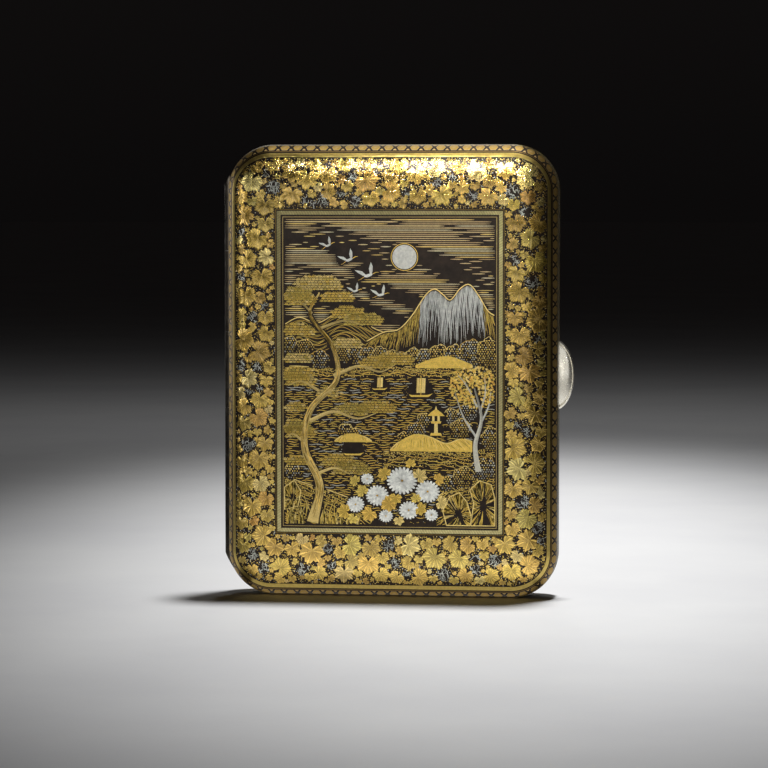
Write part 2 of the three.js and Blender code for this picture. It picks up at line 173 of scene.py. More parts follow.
# ---- meshes ----------------------------------------------------------------------------------------------------
def make(name, V, F, body, col=None, smooth=None, mats=(), mi=None, raw=False):
    """V in millimetres from the middle of the body, F triangles or quads of one size each; col is per vertex."""
    V = np.asarray(V, float)
    if not raw:
        V = V + np.array([BX, 0, ZR])
    V = V * MM
    F = np.asarray(F, np.int32)
    k = F.shape[1]
    me = bpy.data.meshes.new(name)
    me.vertices.add(len(V))
    me.vertices.foreach_set("co", V.astype(np.float32).ravel())
    me.loops.add(F.size)
    me.loops.foreach_set("vertex_index", F.ravel())
    me.polygons.add(len(F))
    me.polygons.foreach_set("loop_start", np.arange(0, F.size, k, dtype=np.int32))
    me.update(calc_edges=True)
    if col is not None:
        at = me.color_attributes.new("tone", "FLOAT_COLOR", "POINT")
        c = np.ones((len(V), 4), np.float32)
        c[:, : col.shape[1]] = col
        at.data.foreach_set("color", c.ravel())
    if mi is not None:
        me.polygons.foreach_set("material_index", np.asarray(mi, np.int32))
    me.validate()
    me.polygons.foreach_set("use_smooth", np.full(len(me.polygons), smooth is not None))
    if smooth is not None:
        if smooth < 180:
            me.set_sharp_from_angle(angle=math.radians(smooth))
    for m in mats:
        me.materials.append(m)
    o = bpy.data.objects.new(name, me)
    bpy.context.scene.collection.objects.link(o)
    if body:
        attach(o, body)
    return o


class Soup:
    """Gathers many small closed solids for one piece."""

    def __init__(self):
        self.V, self.F, self.C, self.n = [], [], [], 0

    def add(self, V, F, C, outward=True):
        V = np.asarray(V, float).reshape(-1, 3)
        C = np.asarray(C, float)
        F = np.asarray(F)
        if C.ndim == 1:
            C = np.tile(C, (len(V), 1))
        if outward:
            q = (V - V.mean(0))[F]
            if np.einsum("ij,ij->", q[:, 0], np.cross(q[:, 1], q[:, 2])) < 0:
                F = F[:, ::-1]
        self.V.append(V)
        self.F.append(F + self.n)
        self.C.append(C)
        self.n += len(V)

    def many(self, Q, F, C):
        """Q (K, n, 3) copies of one template with faces F, colours C (K, 3) or (K, n, 3)."""
        K, n = Q.shape[:2]
        if not K:
            return
        C = np.asarray(C, float)
        if C.ndim == 2:
            C = np.repeat(C[:, None], n, 1)
        q = (Q - Q.mean(1, keepdims=True))[:, F]
        vol = np.einsum("kfi,kfi->k", q[:, :, 0], np.cross(q[:, :, 1], q[:, :, 2]))
        f = np.repeat(F[None], K, 0)
        f[vol < 0] = f[vol < 0][:, :, ::-1]
        f = (f + (np.arange(K) * n)[:, None, None]).reshape(-1, F.shape[1])
        self.add(Q.reshape(-1, 3), f, C.reshape(-1, 3), outward=False)

    def build(self, name, body, mats, smooth=None, slot="iron"):
        V, F, C = np.concatenate(self.V), np.concatenate(self.F), np.concatenate(self.C)
        return make(name, V, F, body, col=C, mats=mats, smooth=smooth)


def solid_template(v2, h, tris, loop, under=-0.06):
    """A closed plate: top vertices at heights h over the flat shape v2, the same shape underneath, and a skirt round loop."""
    v2, tris, loop = np.asarray(v2, float), np.asarray(tris), np.asarray(loop)
    n = len(v2)
    top = np.column_stack([v2, np.broadcast_to(h, n)])
    bot = np.column_stack([v2, np.full(n, under)])
    a, b = loop, np.roll(loop, -1)
    skirt = np.concatenate([np.column_stack([a, a + n, b + n]), np.column_stack([a, b + n, b])])
    return np.concatenate([top, bot]), np.concatenate([tris, tris[:, ::-1] + n, skirt])


def fan_area(v, t):
    p = v[t]
    return ((p[:, 1, 0] - p[:, 0, 0]) * (p[:, 2, 1] - p[:, 0, 1]) - (p[:, 2, 0] - p[:, 0, 0]) * (p[:, 1, 1] - p[:, 0, 1]))


def leaf_template(half, rings, veins, low=0.70, down=0.34, unit=1.0, vein_highlight=1.30):
    """A vine leaf seen flat, radius about 1. half: (angle from the tip in degrees, length) down one side from the
    stem's end; rings: (share of the length, height, shade); veins: the angles of the engraved main veins. The shade is
    partly painted light: a painted highlight on the raised veins, painted shade in the sinuses between the lobes and
    beside the veins."""
    h = np.asarray(half, float)
    ang = np.concatenate([-h[:0:-1, 0], h[:, 0]])
    r = np.concatenate([h[:0:-1, 1], h[:, 1]])
    n = len(ang)
    d = np.radians(90 - ang)
    is_low = (r <= np.minimum(np.roll(r, 1), np.roll(r, -1)) + 1e-9)
    is_vein = np.isin(np.round(np.abs(ang), 3), np.round(veins, 3))
    shaded_beside_vein = np.roll(is_vein, 1) | np.roll(is_vein, -1)
    V, hgt, shade = [np.zeros((1, 2))], [np.array([rings[0][1]])], [np.array([low])]
    for f, z, c in rings:
        V.append(np.column_stack([np.cos(d), np.sin(d)]) * (r * f)[:, None])
        hgt.append(np.where(is_vein & (f < 0.95), z * 1.25, np.where(is_low, z * 0.80, z)))
        # painted light: vertices on the raised veins get a painted highlight, sinus vertices and those beside the veins
        # get painted shade
        shade.append(np.where(is_vein & (f < 0.95), vein_highlight, np.where(is_low, c * (0.84 if f < 0.95 else 0.60), np.where(shaded_beside_vein & (f < 0.95), c * 0.80, c))))
    V, hgt, shade = np.concatenate(V), np.concatenate(hgt), np.concatenate(shade)
    V[:, 1] -= down
    V /= unit
    i = np.arange(n)
    j = (i + 1) % n
    T = [np.column_stack([np.zeros(n, int), 1 + i, 1 + j])]
    for k in range(len(rings) - 1):
        A, B_ = 1 + k * n, 1 + (k + 1) * n
        T += [np.column_stack([A + i, B_ + i, B_ + j]), np.column_stack([A + i, B_ + j, A + j])]
    T = np.concatenate(T)
    loop = 1 + (len(rings) - 1) * n + i
    if fan_area(V, T).sum() < 0:
        T, loop = T[:, ::-1], loop[::-1]
    return V, hgt, shade, T, loop


VINE = [(0, 1.22), (5, 1.08), (10, 1.13), (16, 1.00), (22, 1.03), (28, 0.88), (34, 1.00), (40, 0.96), (46, 1.08), (52, 1.16), (58, 1.04), (64, 1.07), (70, 0.95), (75, 0.96), (81, 0.83),
        (88, 0.93), (95, 0.90), (101, 1.00), (107, 0.90), (115, 0.92), (123, 0.78), (131, 0.83), (140, 0.72), (150, 0.74), (160, 0.50), (174, 0.16)]
MAPLE = [(0, 1.25), (6, 1.07), (12, 1.12), (19, 0.95), (27, 0.82), (35, 0.99), (44, 0.98), (51, 1.19), (58, 1.00), (67, 1.00), (78, 0.78), (88, 0.93), (99, 1.05), (108, 0.89), (120, 0.86), (133, 0.71), (147, 0.73), (162, 0.44), (174, 0.16)]
IVY = [(0, 1.18), (8, 1.04), (18, 0.98), (26, 0.84), (40, 1.00), (47, 1.00), (54, 1.10), (62, 0.99), (70, 0.95), (82, 0.78), (92, 0.90), (100, 0.94), (110, 0.86), (124, 0.80), (140, 0.68), (160, 0.46), (175, 0.2)]
TUFT = [(0, 1.0), (20, 0.86), (36, 0.60), (54, 0.86), (72, 1.0), (90, 0.86), (108, 0.60), (126, 0.86), (144, 1.0), (164, 0.82), (180, 0.6)]
LEAVES = {
    "broad": leaf_template(VINE, [(0.30, 0.95, 0.64), (0.62, 0.92, 0.72), (0.90, 0.80, 0.88), (1.0, 0.30, 1.0)], (0, 22, 52, 75, 101, 131, 150)),
    "sharp": leaf_template(MAPLE, [(0.30, 0.95, 0.64), (0.62, 0.92, 0.72), (0.88, 0.80, 0.88), (1.0, 0.30, 1.0)], (0, 51, 99, 147)),
    "small": leaf_template(IVY, [(0.45, 0.95, 0.70), (0.86, 0.85, 0.84), (1.0, 0.35, 1.0)], (0, 54, 100)),
    "floret": leaf_template(TUFT[:-1], [(0.45, 0.95, 0.95), (1.0, 0.35, 0.85)], (0, 72, 144), down=0.0, unit=1.0),
}

# gold and silver, as linear colours
GOLD = np.array([0.82, 0.57, 0.125])
PALE = np.array([0.90, 0.69, 0.25])
GREEN = np.array([0.70, 0.53, 0.13])
BROWN = np.array([0.70, 0.46, 0.105])
RED = np.array([0.72, 0.42, 0.095])
SILVER = np.array([0.66, 0.66, 0.60])
DULL = np.array([0.40, 0.31, 0.15])


def tones(rng, n, p=(0.62, 0.10, 0.07, 0.19, 0.02)):
    base = np.stack([GOLD, PALE, GREEN, BROWN, RED])[rng.choice(5, n, p=p)]
    return np.clip(base * rng.uniform(0.82, 1.12, (n, 1)) * rng.uniform(0.96, 1.04, (n, 3)), 0, 0.95)


FRAME_X, FRAME_Z = 30.3, 42.85  # outer edge of the panel's frame
LINE_U = (0.192, 0.284)


def leaf_field(side, seed):
    """Centres, radii and kinds of the border's leaves, packed from large to small."""
    rng = np.random.default_rng(seed)
    pts, rad = np.empty((0, 3)), np.empty(0)
    out = []
    # dark patches of silver tendrils first, then leaves from large to small
    for r, tries, gap, kinds in [(2.0, 40, 1.10, ["patch"]), (1.5, 70, 1.0, ["patch"]), (1.1, 60, 1.0, ["patch"]), (2.85, 2400, 0.88, ["broad", "broad", "sharp"]), (2.3, 8000, 0.87, ["broad", "broad", "sharp"]), (1.8, 14000, 0.86, ["broad", "sharp"]),
                                 (1.35, 18000, 0.86, ["small", "small", "sharp"]), (0.98, 24000, 0.88, ["small"]), (0.66, 26000, 0.92, ["small", "floret"])]:
        x = rng.uniform(-XR, XR, tries)
        z = rng.uniform(-ZR, ZR, tries)
        u = u_of(x, z)
        inset = np.minimum(np.hypot(np.maximum(np.abs(x) - FRAME_X - 0.15, 0), np.maximum(np.abs(z) - FRAME_Z - 0.15, 0)), 99)
        inside = (np.abs(x) < FRAME_X + 0.15) & (np.abs(z) < FRAME_Z + 0.15)
        roll = np.where(np.abs(x) / XR > np.abs(z) / ZR, ROLL_X, ROLL_Z)
        edge = (u - LINE_U[1] - 0.008) * roll * 1.22
        corner = (np.abs(x) > HX) & (np.abs(z) > HZ)
        edge = np.where(corner, (u - LINE_U[1] - 0.008) * 10.5, edge)
        rr = r * rng.uniform(0.9, 1.1, tries)
        ok = (~inside) & (inset > rr * 0.97) & (np.where(u < 0.999, edge, 99) > rr * 1.0) & (u > LINE_U[1])
        x, z, rr = x[ok], z[ok], rr[ok]
        p = np.stack([x, side * depth(x, z), z], -1)
        for i in range(len(x)):
            if len(rad):
                near = np.abs(pts - p[i]).max(1) < 6.2
                if near.any() and (np.linalg.norm(pts[near] - p[i], axis=1) < gap * (rad[near] + rr[i])).any():
                    continue
            pts = np.vstack([pts, p[i]])
            rad = np.append(rad, rr[i])
            out.append((x[i], z[i], rr[i], kinds[rng.integers(len(kinds))]))
    return out, pts, rad


def disc_template(n=6):
    """A shallow closed cone: a ring on the surface, a peak above and a point below."""
    a = np.arange(n) * 2 * math.pi / n
    V = np.vstack([np.column_stack([np.cos(a), np.sin(a), np.full(n, 0.15)]), [[0, 0, 1.0], [0, 0, -1.0]]])
    F = [(i, (i + 1) % n, n) for i in range(n)] + [((i + 1) % n, i, n + 1) for i in range(n)]
    return V, np.array(F)


DOT_V, DOT_F = disc_template()


def dots(soup, x, z, r, col, side, height=0.06):
    x, z, r = (np.asarray(v, float) for v in (x, z, r))
    if not len(x):
        return
    L = np.repeat(DOT_V[None], len(x), 0)
    loc = np.empty_like(L)
    loc[..., :2] = L[..., :2] * r[:, None, None]
    loc[..., 2] = L[..., 2] * height
    soup.many(wrap(x, z, np.zeros_like(x), loc, side), DOT_F, col)


def border(name, seed):
    side = SIDES[name]
    out, pts, rad = leaf_field(side, seed)
    rng = np.random.default_rng(seed + 1)
    for label, low, high in (("vine", 1.5, 9.0), ("bud", 0.0, 1.5)):
        soup = Soup()
        for kind, (v, hgt, shade, T, loop) in LEAVES.items():
            rows = [o for o in out if o[3] == kind and low <= o[2] < high]
            if not rows:
                continue
            x0, z0, r = (np.array([o[i] for o in rows]) for i in range(3))
            K = len(rows)
            TV, TF = solid_template(v, hgt, T, loop, -1.0)
            loc = np.repeat(TV[None], K, 0)
            loc[..., :2] *= 1.04 * r[:, None, None]
            loc[..., 0] *= 1 + rng.uniform(-0.08, 0.08, (K, 1))
            lift = 0.030 + 0.016 * r
            n = len(v)
            loc[:, :n, 2] *= lift[:, None]
            loc[:, n:, 2] = -0.06
            C = tones(rng, K)[:, None] * np.concatenate([shade, shade])[None, :, None]
            soup.many(wrap(x0, z0, math.pi + rng.normal(0, 0.85, K), loc, side), TF, C)
        soup.build(name + "_" + label + "_inlay", BODY[name], [MATS["gold"]])
    # silver tendrils in the dark patches
    soup = Soup()
    patches = [(x, z, r) for x, z, r, k in out if k == "patch"]
    cx, cz, cr = [], [], []
    for x, z, r in patches:
        k = int(5.5 * r * r + 1)
        a, d = rng.uniform(0, 2 * math.pi, k), r * 0.86 * np.sqrt(rng.uniform(size=k))
        cx += list(x + d * np.cos(a))
        cz += list(z + d * np.sin(a))
        cr += [r] * k
    cx, cz = np.array(cx), np.array(cz)
    K, m = len(cx), 9
    step = rng.uniform(0.14, 0.24, (K, 1))
    turn = rng.uniform(0, 2 * math.pi, (K, 1)) + np.cumsum(rng.normal(0, 0.75, (K, m)), 1)
    px, pz = np.cumsum(step * np.cos(turn), 1), np.cumsum(step * np.sin(turn), 1)
    px, pz = px - px.mean(1, keepdims=True), pz - pz.mean(1, keepdims=True)
    tx, tz = np.gradient(px, axis=1), np.gradient(pz, axis=1)
    ln = np.hypot(tx, tz)
    nx, nz = -tz / ln, tx / ln
    w = np.interp(np.linspace(0, 1, m), [0, 0.3, 0.8, 1], [0.024, 0.052, 0.046, 0.022])
    ribbon = np.concatenate([np.stack([px - nx * w, pz - nz * w], -1), np.stack([px + nx * w, pz + nz * w], -1)], 1)
    i = np.arange(m - 1)
    T = np.concatenate([np.column_stack([i, i + 1, i + 1 + m]), np.column_stack([i, i + 1 + m, i + m])])
    _, TF = solid_template(np.zeros((2 * m, 2)), 0.05, T, np.concatenate([np.arange(m), np.arange(2 * m - 1, m - 1, -1)]), -0.05)
    loc = np.zeros((K, 4 * m, 3))
    loc[:, :2 * m, :2] = loc[:, 2 * m:, :2] = ribbon
    loc[:, :2 * m, 2], loc[:, 2 * m:, 2] = 0.055, -0.05
    soup.many(wrap(cx, cz, np.zeros(K), loc, side), TF, np.array([0.62, 0.63, 0.56]) * rng.uniform(0.5, 1.2, (K, 1)))
    soup.build(name + "_tendril_inlay", BODY[name], [MATS["silver_inlay"]])
    # berries in the gaps between the leaves
    soup = Soup()
    n = 60000
    x, z = rng.uniform(-XR, XR, n), rng.uniform(-ZR, ZR, n)
    u = u_of(x, z)
    ok = (u > LINE_U[1] + 0.02) & ~((np.abs(x) < FRAME_X + 0.3) & (np.abs(z) < FRAME_Z + 0.3))
    x, z = x[ok], z[ok]
    p = np.stack([x, side * depth(x, z), z], -1)
    keep, cell = [], set()
    for i in range(len(x)):
        key = (int(x[i] / 0.50), int(z[i] / 0.50))
        if key in cell or (((pts - p[i]) ** 2).sum(1) < (0.84 * rad) ** 2).any():
            continue
        cell.add(key)
        keep.append(i)
    keep = np.array(keep)
    cols = np.stack([PALE * 0.9, GOLD * 0.8, SILVER * 0.8, BROWN * 0.6])[rng.choice(4, len(keep), p=(0.3, 0.32, 0.13, 0.25))]
    dots(soup, x[keep], z[keep], rng.uniform(0.10, 0.19, len(keep)), cols, side, 0.035)
    soup.build(name + "_berry_inlay", BODY[name], [MATS["gold_bands"]])


def strip(soup, L, w_rows, h, col, side, closed=True, under=-0.05):
    """A band round the outline between rows of w, closed underneath."""
    m, n = len(w_rows), len(L)
    top = ring_point(L[:, None], np.asarray(w_rows)[None], np.broadcast_to(h, (n, m)), side)
    bot = ring_point(L[:, None], np.asarray(w_rows)[None], np.full((n, m), under), side)
    V = np.concatenate([top.reshape(-1, 3), bot.reshape(-1, 3)])
    F = []
    off = n * m
    I = np.arange(n if closed else n - 1)
    J = (I + 1) % n
    for k in range(m - 1):
        a, b, c, d = I * m + k, J * m + k, J * m + k + 1, I * m + k + 1
        F += [np.column_stack([a, b, c]), np.column_stack([a, c, d]), np.column_stack([a, c, b]) + off, np.column_stack([a, d, c]) + off]
    for k, flip in ((0, 1), (m - 1, 0)):
        a, b = I * m + k, J * m + k
        q = [np.column_stack([a, a + off, b + off]), np.column_stack([a, b + off, b])]
        F += [t[:, ::-1] if not flip else t for t in q]
    F = np.concatenate(F)
    if side > 0:
        F = F[:, ::-1]
    soup.add(V, F, col)


def outline_samples(step=0.8):
    L = [0.0]
    arc = math.pi * R / 2
    start = 0.0
    out = []
    for kind, length in [("s", 2 * HZ), ("c", arc), ("t", 2 * HX), ("c", arc), ("s", 2 * HZ), ("c", arc), ("t", 2 * HX), ("c", arc)]:
        k = max(2, int(round(length / (step if kind == "c" else step * 4))))
        out += list(start + np.arange(k) / k * length)
        start += length
    return np.array(out)


def grid_plate(rows, half, h_of):
    """A plate on a grid in (length, v): rows of v, half(v) the half length there, h_of(fraction, v) the height."""
    fr = np.array([-1, -0.80, -0.66, 0, 0.66, 0.80, 1.0])
    n, m = len(rows), len(fr)
    V = np.array([[f * half(v), v, h_of(f, v)] for v in rows for f in fr])
    T = []
    for i in range(n - 1):
        for j in range(m - 1):
            a, b, c, d = i * m + j, i * m + j + 1, (i + 1) * m + j + 1, (i + 1) * m + j
            T += [(a, b, c), (a, c, d)]
    loop = [*range(m), *[i * m + m - 1 for i in range(1, n)], *[(n - 1) * m + j for j in range(m - 2, -1, -1)], *[i * m for i in range(n - 2, 0, -1)]]
    return V, np.array(T), np.array(loop)


def edge_bands(name):
    side = SIDES[name]
    soup = Soup()
    L = outline_samples()
    band = np.array([0.64, 0.48, 0.145])
    strip(soup, L, np.linspace(*LINE_U, 6), np.array([0.02, 0.035, 0.04, 0.04, 0.035, 0.02]), band, side)
    strip(soup, L, np.array([0.151, 0.158, 0.166]), 0.03, np.array([0.26, 0.17, 0.06]), side)
    strip(soup, L, np.array([0.0060, 0.0090]), 0.02, DULL * 1.1, side)
    strip(soup, L, np.array([-0.72, -0.60, -0.48]), 0.03, band * 0.4, side)
    # hexagons and the small triangles that leave dark crosses between them
    hexes = Soup()
    cells = 114
    pitch = PERIM / cells
    t0, t1 = math.acos(1 - 0.020), math.acos(1 - 0.131)

    def place(V, T, loop, shift, colour):
        n = len(V)
        v = V[:, 1]
        w = 1 - np.cos(t0 + (v + 1) / 2 * (t1 - t0))
        Lc = (np.arange(cells) + 0.5) * pitch + shift
        Lall = Lc[:, None] + V[None, :, 0]
        top = ring_point(Lall, w[None], V[None, :, 2], side)
        bot = ring_point(Lall, w[None], np.full((1, n), -0.05), side)
        Q = np.concatenate([top, bot], 1)
        a, b = loop, np.roll(loop, -1)
        F = np.concatenate([T, T[:, ::-1] + n, np.column_stack([a, a + n, b + n]), np.column_stack([a, b + n, b])])
        if side > 0:
            F = F[:, ::-1]
        hexes.many(Q, F, np.tile(colour, (cells, 1)) if np.ndim(colour) == 1 else np.repeat(colour[None], cells, 0))

    rows = np.array([-1, -0.72, -0.56, 0, 0.56, 0.72, 1.0])
    half = lambda v: 1.27 - 0.60 * abs(v)
    V, T, loop = grid_plate(rows, half, lambda f, v: 0.03)
    f = np.abs(V[:, 0]) / np.array([half(v) for v in V[:, 1]])
    # painted groove shade: a darker ring of vertex colour inside each flat hexagon stands in for the shade of a cut
    # inner groove
    line = ((f > 0.62) & (f < 0.85) & (np.abs(V[:, 1]) < 0.75)) | ((np.abs(V[:, 1]) > 0.5) & (np.abs(V[:, 1]) < 0.75) & (f < 0.85))
    tint = np.where(line[:, None], BROWN * 0.62, np.array([0.44, 0.32, 0.17]))
    place(V, T, loop, 0.0, np.concatenate([tint, tint]))
    for s in (-1, 1):
        tri = np.array([[-0.52, s * 1.0, 0.03], [0.52, s * 1.0, 0.03], [0.24, s * 0.72, 0.03], [0.0, s * 0.50, 0.03], [-0.24, s * 0.72, 0.03]])
        T = np.array([(0, 1, 2), (0, 2, 4), (4, 2, 3)])
        loop = np.array([0, 1, 2, 3, 4])
        if s > 0:
            T, loop = T[:, ::-1], loop[::-1]
        place(tri, T, loop, pitch / 2, np.array([0.60, 0.42, 0.17]))
    hexes.build(name + "_hexagon_inlay", BODY[name], [MATS["gold_matte"]])
    return soup.build(name + "_edge_inlay", BODY[name], [MATS["gold_bands"]])


# ---- flat work on the face --------------------------------------------------------------------------------------
class Flat:
    """Closed flat shapes on the face, in face coordinates: x to the right as seen from outside, z up from the middle."""

    def __init__(self, side):
        self.side, self.soup = side, Soup()

    def _put(self, v2, h, T, loop, col, under=-0.05):
        V, F = solid_template(v2, h, T, loop, under)
        self.lay(V, F, col)

    def lay(self, V, F, col):
        P = np.column_stack([V[:, 0] * (-self.side), self.side * (HALF + V[:, 2]), V[:, 1]])
        self.soup.add(P, F, col)

    def poly(self, pts, col, h=0.05, ridge=None):
        pts = np.asarray(pts, float)
        area = 0.5 * np.sum(pts[:, 0] * np.roll(pts[:, 1], -1) - np.roll(pts[:, 0], -1) * pts[:, 1])
        if area < 0:
            pts = pts[::-1]
        n = len(pts)
        v, e, f, ov, oe, of = delaunay_2d_cdt([Vector(p) for p in pts], [], [list(range(n))], 1, 1e-6)
        if len(v) != n or not f:
            return
        order = np.array([o[0] for o in ov])
        T = np.array([[order[i] for i in t] for t in f if len(t) == 3])
        bad = fan_area(pts, T) < 0
        T[bad] = T[bad][:, ::-1]
        self._put(pts, h, T, np.arange(n), col)

    def stroke(self, pts, width, col, h=0.05, ridge=0.0):
        """A ribbon along pts; width is one number or one for each point."""
        p = np.asarray(pts, float)
        n = len(p)
        w = np.broadcast_to(width, n) / 2
        t = np.gradient(p, axis=0)
        t /= np.maximum(np.linalg.norm(t, axis=1, keepdims=True), 1e-9)
        nn = np.column_stack([-t[:, 1], t[:, 0]])
        left, right = p + nn * w[:, None], p - nn * w[:, None]
        if ridge:
            v2 = np.concatenate([right, p, left])
            hh = np.concatenate([np.full(n, h), np.full(n, h + ridge), np.full(n, h)])
            i = np.arange(n - 1)
            T = np.concatenate([np.column_stack([i, i + 1, i + 1 + n]), np.column_stack([i, i + 1 + n, i + n]), np.column_stack([i + n, i + 1 + n, i + 1 + 2 * n]), np.column_stack([i + n, i + 1 + 2 * n, i + 2 * n])])
            loop = np.concatenate([np.arange(n), [2 * n - 1], np.arange(3 * n - 1, 2 * n - 1, -1), [n]])
            self._put(v2, hh, T, loop, col)
            return
        v2 = np.concatenate([right, left])
        i = np.arange(n - 1)
        T = np.concatenate([np.column_stack([i, i + 1, i + 1 + n]), np.column_stack([i, i + 1 + n, i + n])])
        self._put(v2, h, T, np.concatenate([np.arange(n), np.arange(2 * n - 1, n - 1, -1)]), col)

    def dots(self, x, z, r, col, h=0.06):
        x, z, r = (np.asarray(v, float) for v in (x, z, r))
        if not len(x):
            return
        r = np.broadcast_to(r, x.shape)
        L = np.repeat(DOT_V[None], len(x), 0) * np.array([1, 1, h])
        L[..., :2] *= r[:, None, None]
        L[..., 0] += x[:, None]
        L[..., 1] += z[:, None]
        P = np.stack([L[..., 0] * (-self.side), self.side * (HALF + L[..., 2]), L[..., 1]], -1)
        C = np.asarray(col, float)
        if C.ndim == 1:
            C = np.tile(C, (len(x), 1))
        self.soup.many(P, DOT_F, C)

    def frame(self, x0, z0, width, col, h=0.05):
        """A rectangular ring; x0, z0 its outer half sizes."""
        a = np.array([(x0, z0), (-x0, z0), (-x0, -z0), (x0, -z0)], float)
        b = np.array([(x0 - width, z0 - width), (-x0 + width, z0 - width), (-x0 + width, -z0 + width), (x0 - width, -z0 + width)])
        V = np.concatenate([np.column_stack([a, np.full(4, h)]), np.column_stack([b, np.full(4, h)]), np.column_stack([a, np.full(4, -0.05)]), np.column_stack([b, np.full(4, -0.05)])])
        F = []
        for i in range(4):
            j = (i + 1) % 4
            F += [(i, j, j + 4), (i, j + 4, i + 4), (i + 8, j + 12, j + 8), (i + 8, i + 12, j + 12), (i, j + 8, j), (i, i + 8, j + 8), (i + 4, j + 4, j + 12), (i + 4, j + 12, i + 12)]
        self.lay(V, np.array(F), col)

    def hatched(self, x0, z0, width, pitch, col, col2, h=0.06):
        """A band of slanting ridges between an outer and an inner rectangle."""
        for sx, sz, length, vertical in [(0, z0 - width / 2, 2 * (x0 - width), False), (0, -z0 + width / 2, 2 * (x0 - width), False), (x0 - width / 2, 0, 2 * z0, True), (-x0 + width / 2, 0, 2 * z0, True)]:
            k = int(length / pitch)
            s = np.linspace(-length / 2, length / 2, 2 * k + 1)
            n = len(s)
            a, b = np.column_stack([s, np.full(n, -width / 2)]), np.column_stack([s, np.full(n, width / 2)])
            slant = width * 0.35
            inner = slice(1, n - 1)
            a[inner, 0] -= slant * 0.5
            b[inner, 0] += slant * 0.5
            a[:, 0], b[:, 0] = np.clip(a[:, 0], -length / 2, length / 2), np.clip(b[:, 0], -length / 2, length / 2)
            a[:, 0] += np.linspace(0, 1e-4, n)
            b[:, 0] += np.linspace(0, 1e-4, n)
            hh = np.where(np.arange(n) % 2, h, h * 0.25)
            v2 = np.concatenate([a, b])
            if vertical:
                v2 = np.column_stack([-v2[:, 1], v2[:, 0]])
            v2 = v2 + np.array([sx, sz])
            i = np.arange(n - 1)
            T = np.concatenate([np.column_stack([i, i + 1, i + 1 + n]), np.column_stack([i, i + 1 + n, i + n])])
            loop = np.concatenate([np.arange(n), np.arange(2 * n - 1, n - 1, -1)])
            V, F = solid_template(v2, np.concatenate([hh, hh]), T, loop, -0.05)
            c = np.where((np.arange(n) % 2)[:, None], col, col2)
            self.lay(V, F, np.concatenate([c, c, c, c]))


PX, PZ = 28.3, 40.7  # half sizes of the panel inside its frame


def panel_frame(name):
    f = Flat(SIDES[name])
    f.frame(FRAME_X + 0.05, FRAME_Z + 0.05, 0.12, BROWN * 0.35, 0.03)
    f.hatched(FRAME_X - 0.36, FRAME_Z - 0.36, 0.98, 0.42, np.array([0.78, 0.69, 0.36]), np.array([0.30, 0.25, 0.10]))
    f.frame(FRAME_X - 1.86, FRAME_Z - 1.86, 0.15, np.array([0.44, 0.33, 0.13]), 0.04)
    return f.soup.build(name + "_panel_frame", BODY[name], [MATS["gold_bands"]])


def noise2(x, z, seed=0):
    """Smooth noise from a few sines, about -1 to 1."""
    r = np.random.default_rng(1000 + seed)
    s = np.zeros_like(x, dtype=float)
    for k in range(5):
        a, b, c = r.uniform(0.06, 0.26), r.uniform(0.10, 0.55), r.uniform(0, 6.28)
        s += np.sin(a * x * (1 + 0.3 * k) + b * z + c) / (1 + 0.35 * k)
    return s / 2.4


def smooth_line(pts, n=24):
    """A smooth curve through points (Catmull-Rom)."""
    p = np.asarray(pts, float)
    p = np.vstack([2 * p[0] - p[1], p, 2 * p[-1] - p[-2]])
    out = []
    for i in range(1, len(p) - 2):
        t = np.linspace(0, 1, n, endpoint=False)[:, None]
        a, b, c, d = p[i - 1], p[i], p[i + 1], p[i + 2]
        out.append(0.5 * ((2 * b) + (-a + c) * t + (2 * a - 5 * b + 4 * c - d) * t ** 2 + (-a + 3 * b - 3 * c + d) * t ** 3))
    out.append(p[-2][None])
    return np.concatenate(out)


def inside(poly, x, z):
    poly = np.asarray(poly)
    r = np.zeros(len(x), bool)
    for (x1, z1), (x2, z2) in zip(poly, np.roll(poly, -1, 0)):
        c = ((z1 > z) != (z2 > z)) & (x < (x2 - x1) * (z - z1) / ((z2 - z1) or 1e-9) + x1)
        r ^= c
    return r


def hill_line(x, pts):
    p = np.asarray(pts, float)
    return np.interp(x, p[:, 0], p[:, 1])


class Mask:
    """Remembers which places of the panel are taken, on a grid of tenths of a millimetre."""

    def __init__(self):
        self.g = np.zeros((600, 840), bool)

    def append(self, poly):
        p = np.asarray(poly, float)
        lo = np.clip(((p.min(0) + [29.5, 41.5]) * 10).astype(int) - 1, 0, [599, 839])
        hi = np.clip(((p.max(0) + [29.5, 41.5]) * 10).astype(int) + 2, 1, [600, 840])
        gx, gz = np.meshgrid(np.arange(lo[0], hi[0]), np.arange(lo[1], hi[1]), indexing="ij")
        r = inside(p, (gx.ravel() + 0.5) / 10 - 29.5, (gz.ravel() + 0.5) / 10 - 41.5).reshape(gx.shape)
        self.g[lo[0]:hi[0], lo[1]:hi[1]] |= r

    def at(self, x, z):
        i = np.clip(((np.asarray(x) + 29.5) * 10).astype(int), 0, 599)
        j = np.clip(((np.asarray(z) + 41.5) * 10).astype(int), 0, 839)
        return self.g[i, j]


HAZE = np.array([(0.56, 0.44, 0.23), (0.44, 0.33, 0.17), (0.68, 0.50, 0.17), (0.58, 0.52, 0.34)])


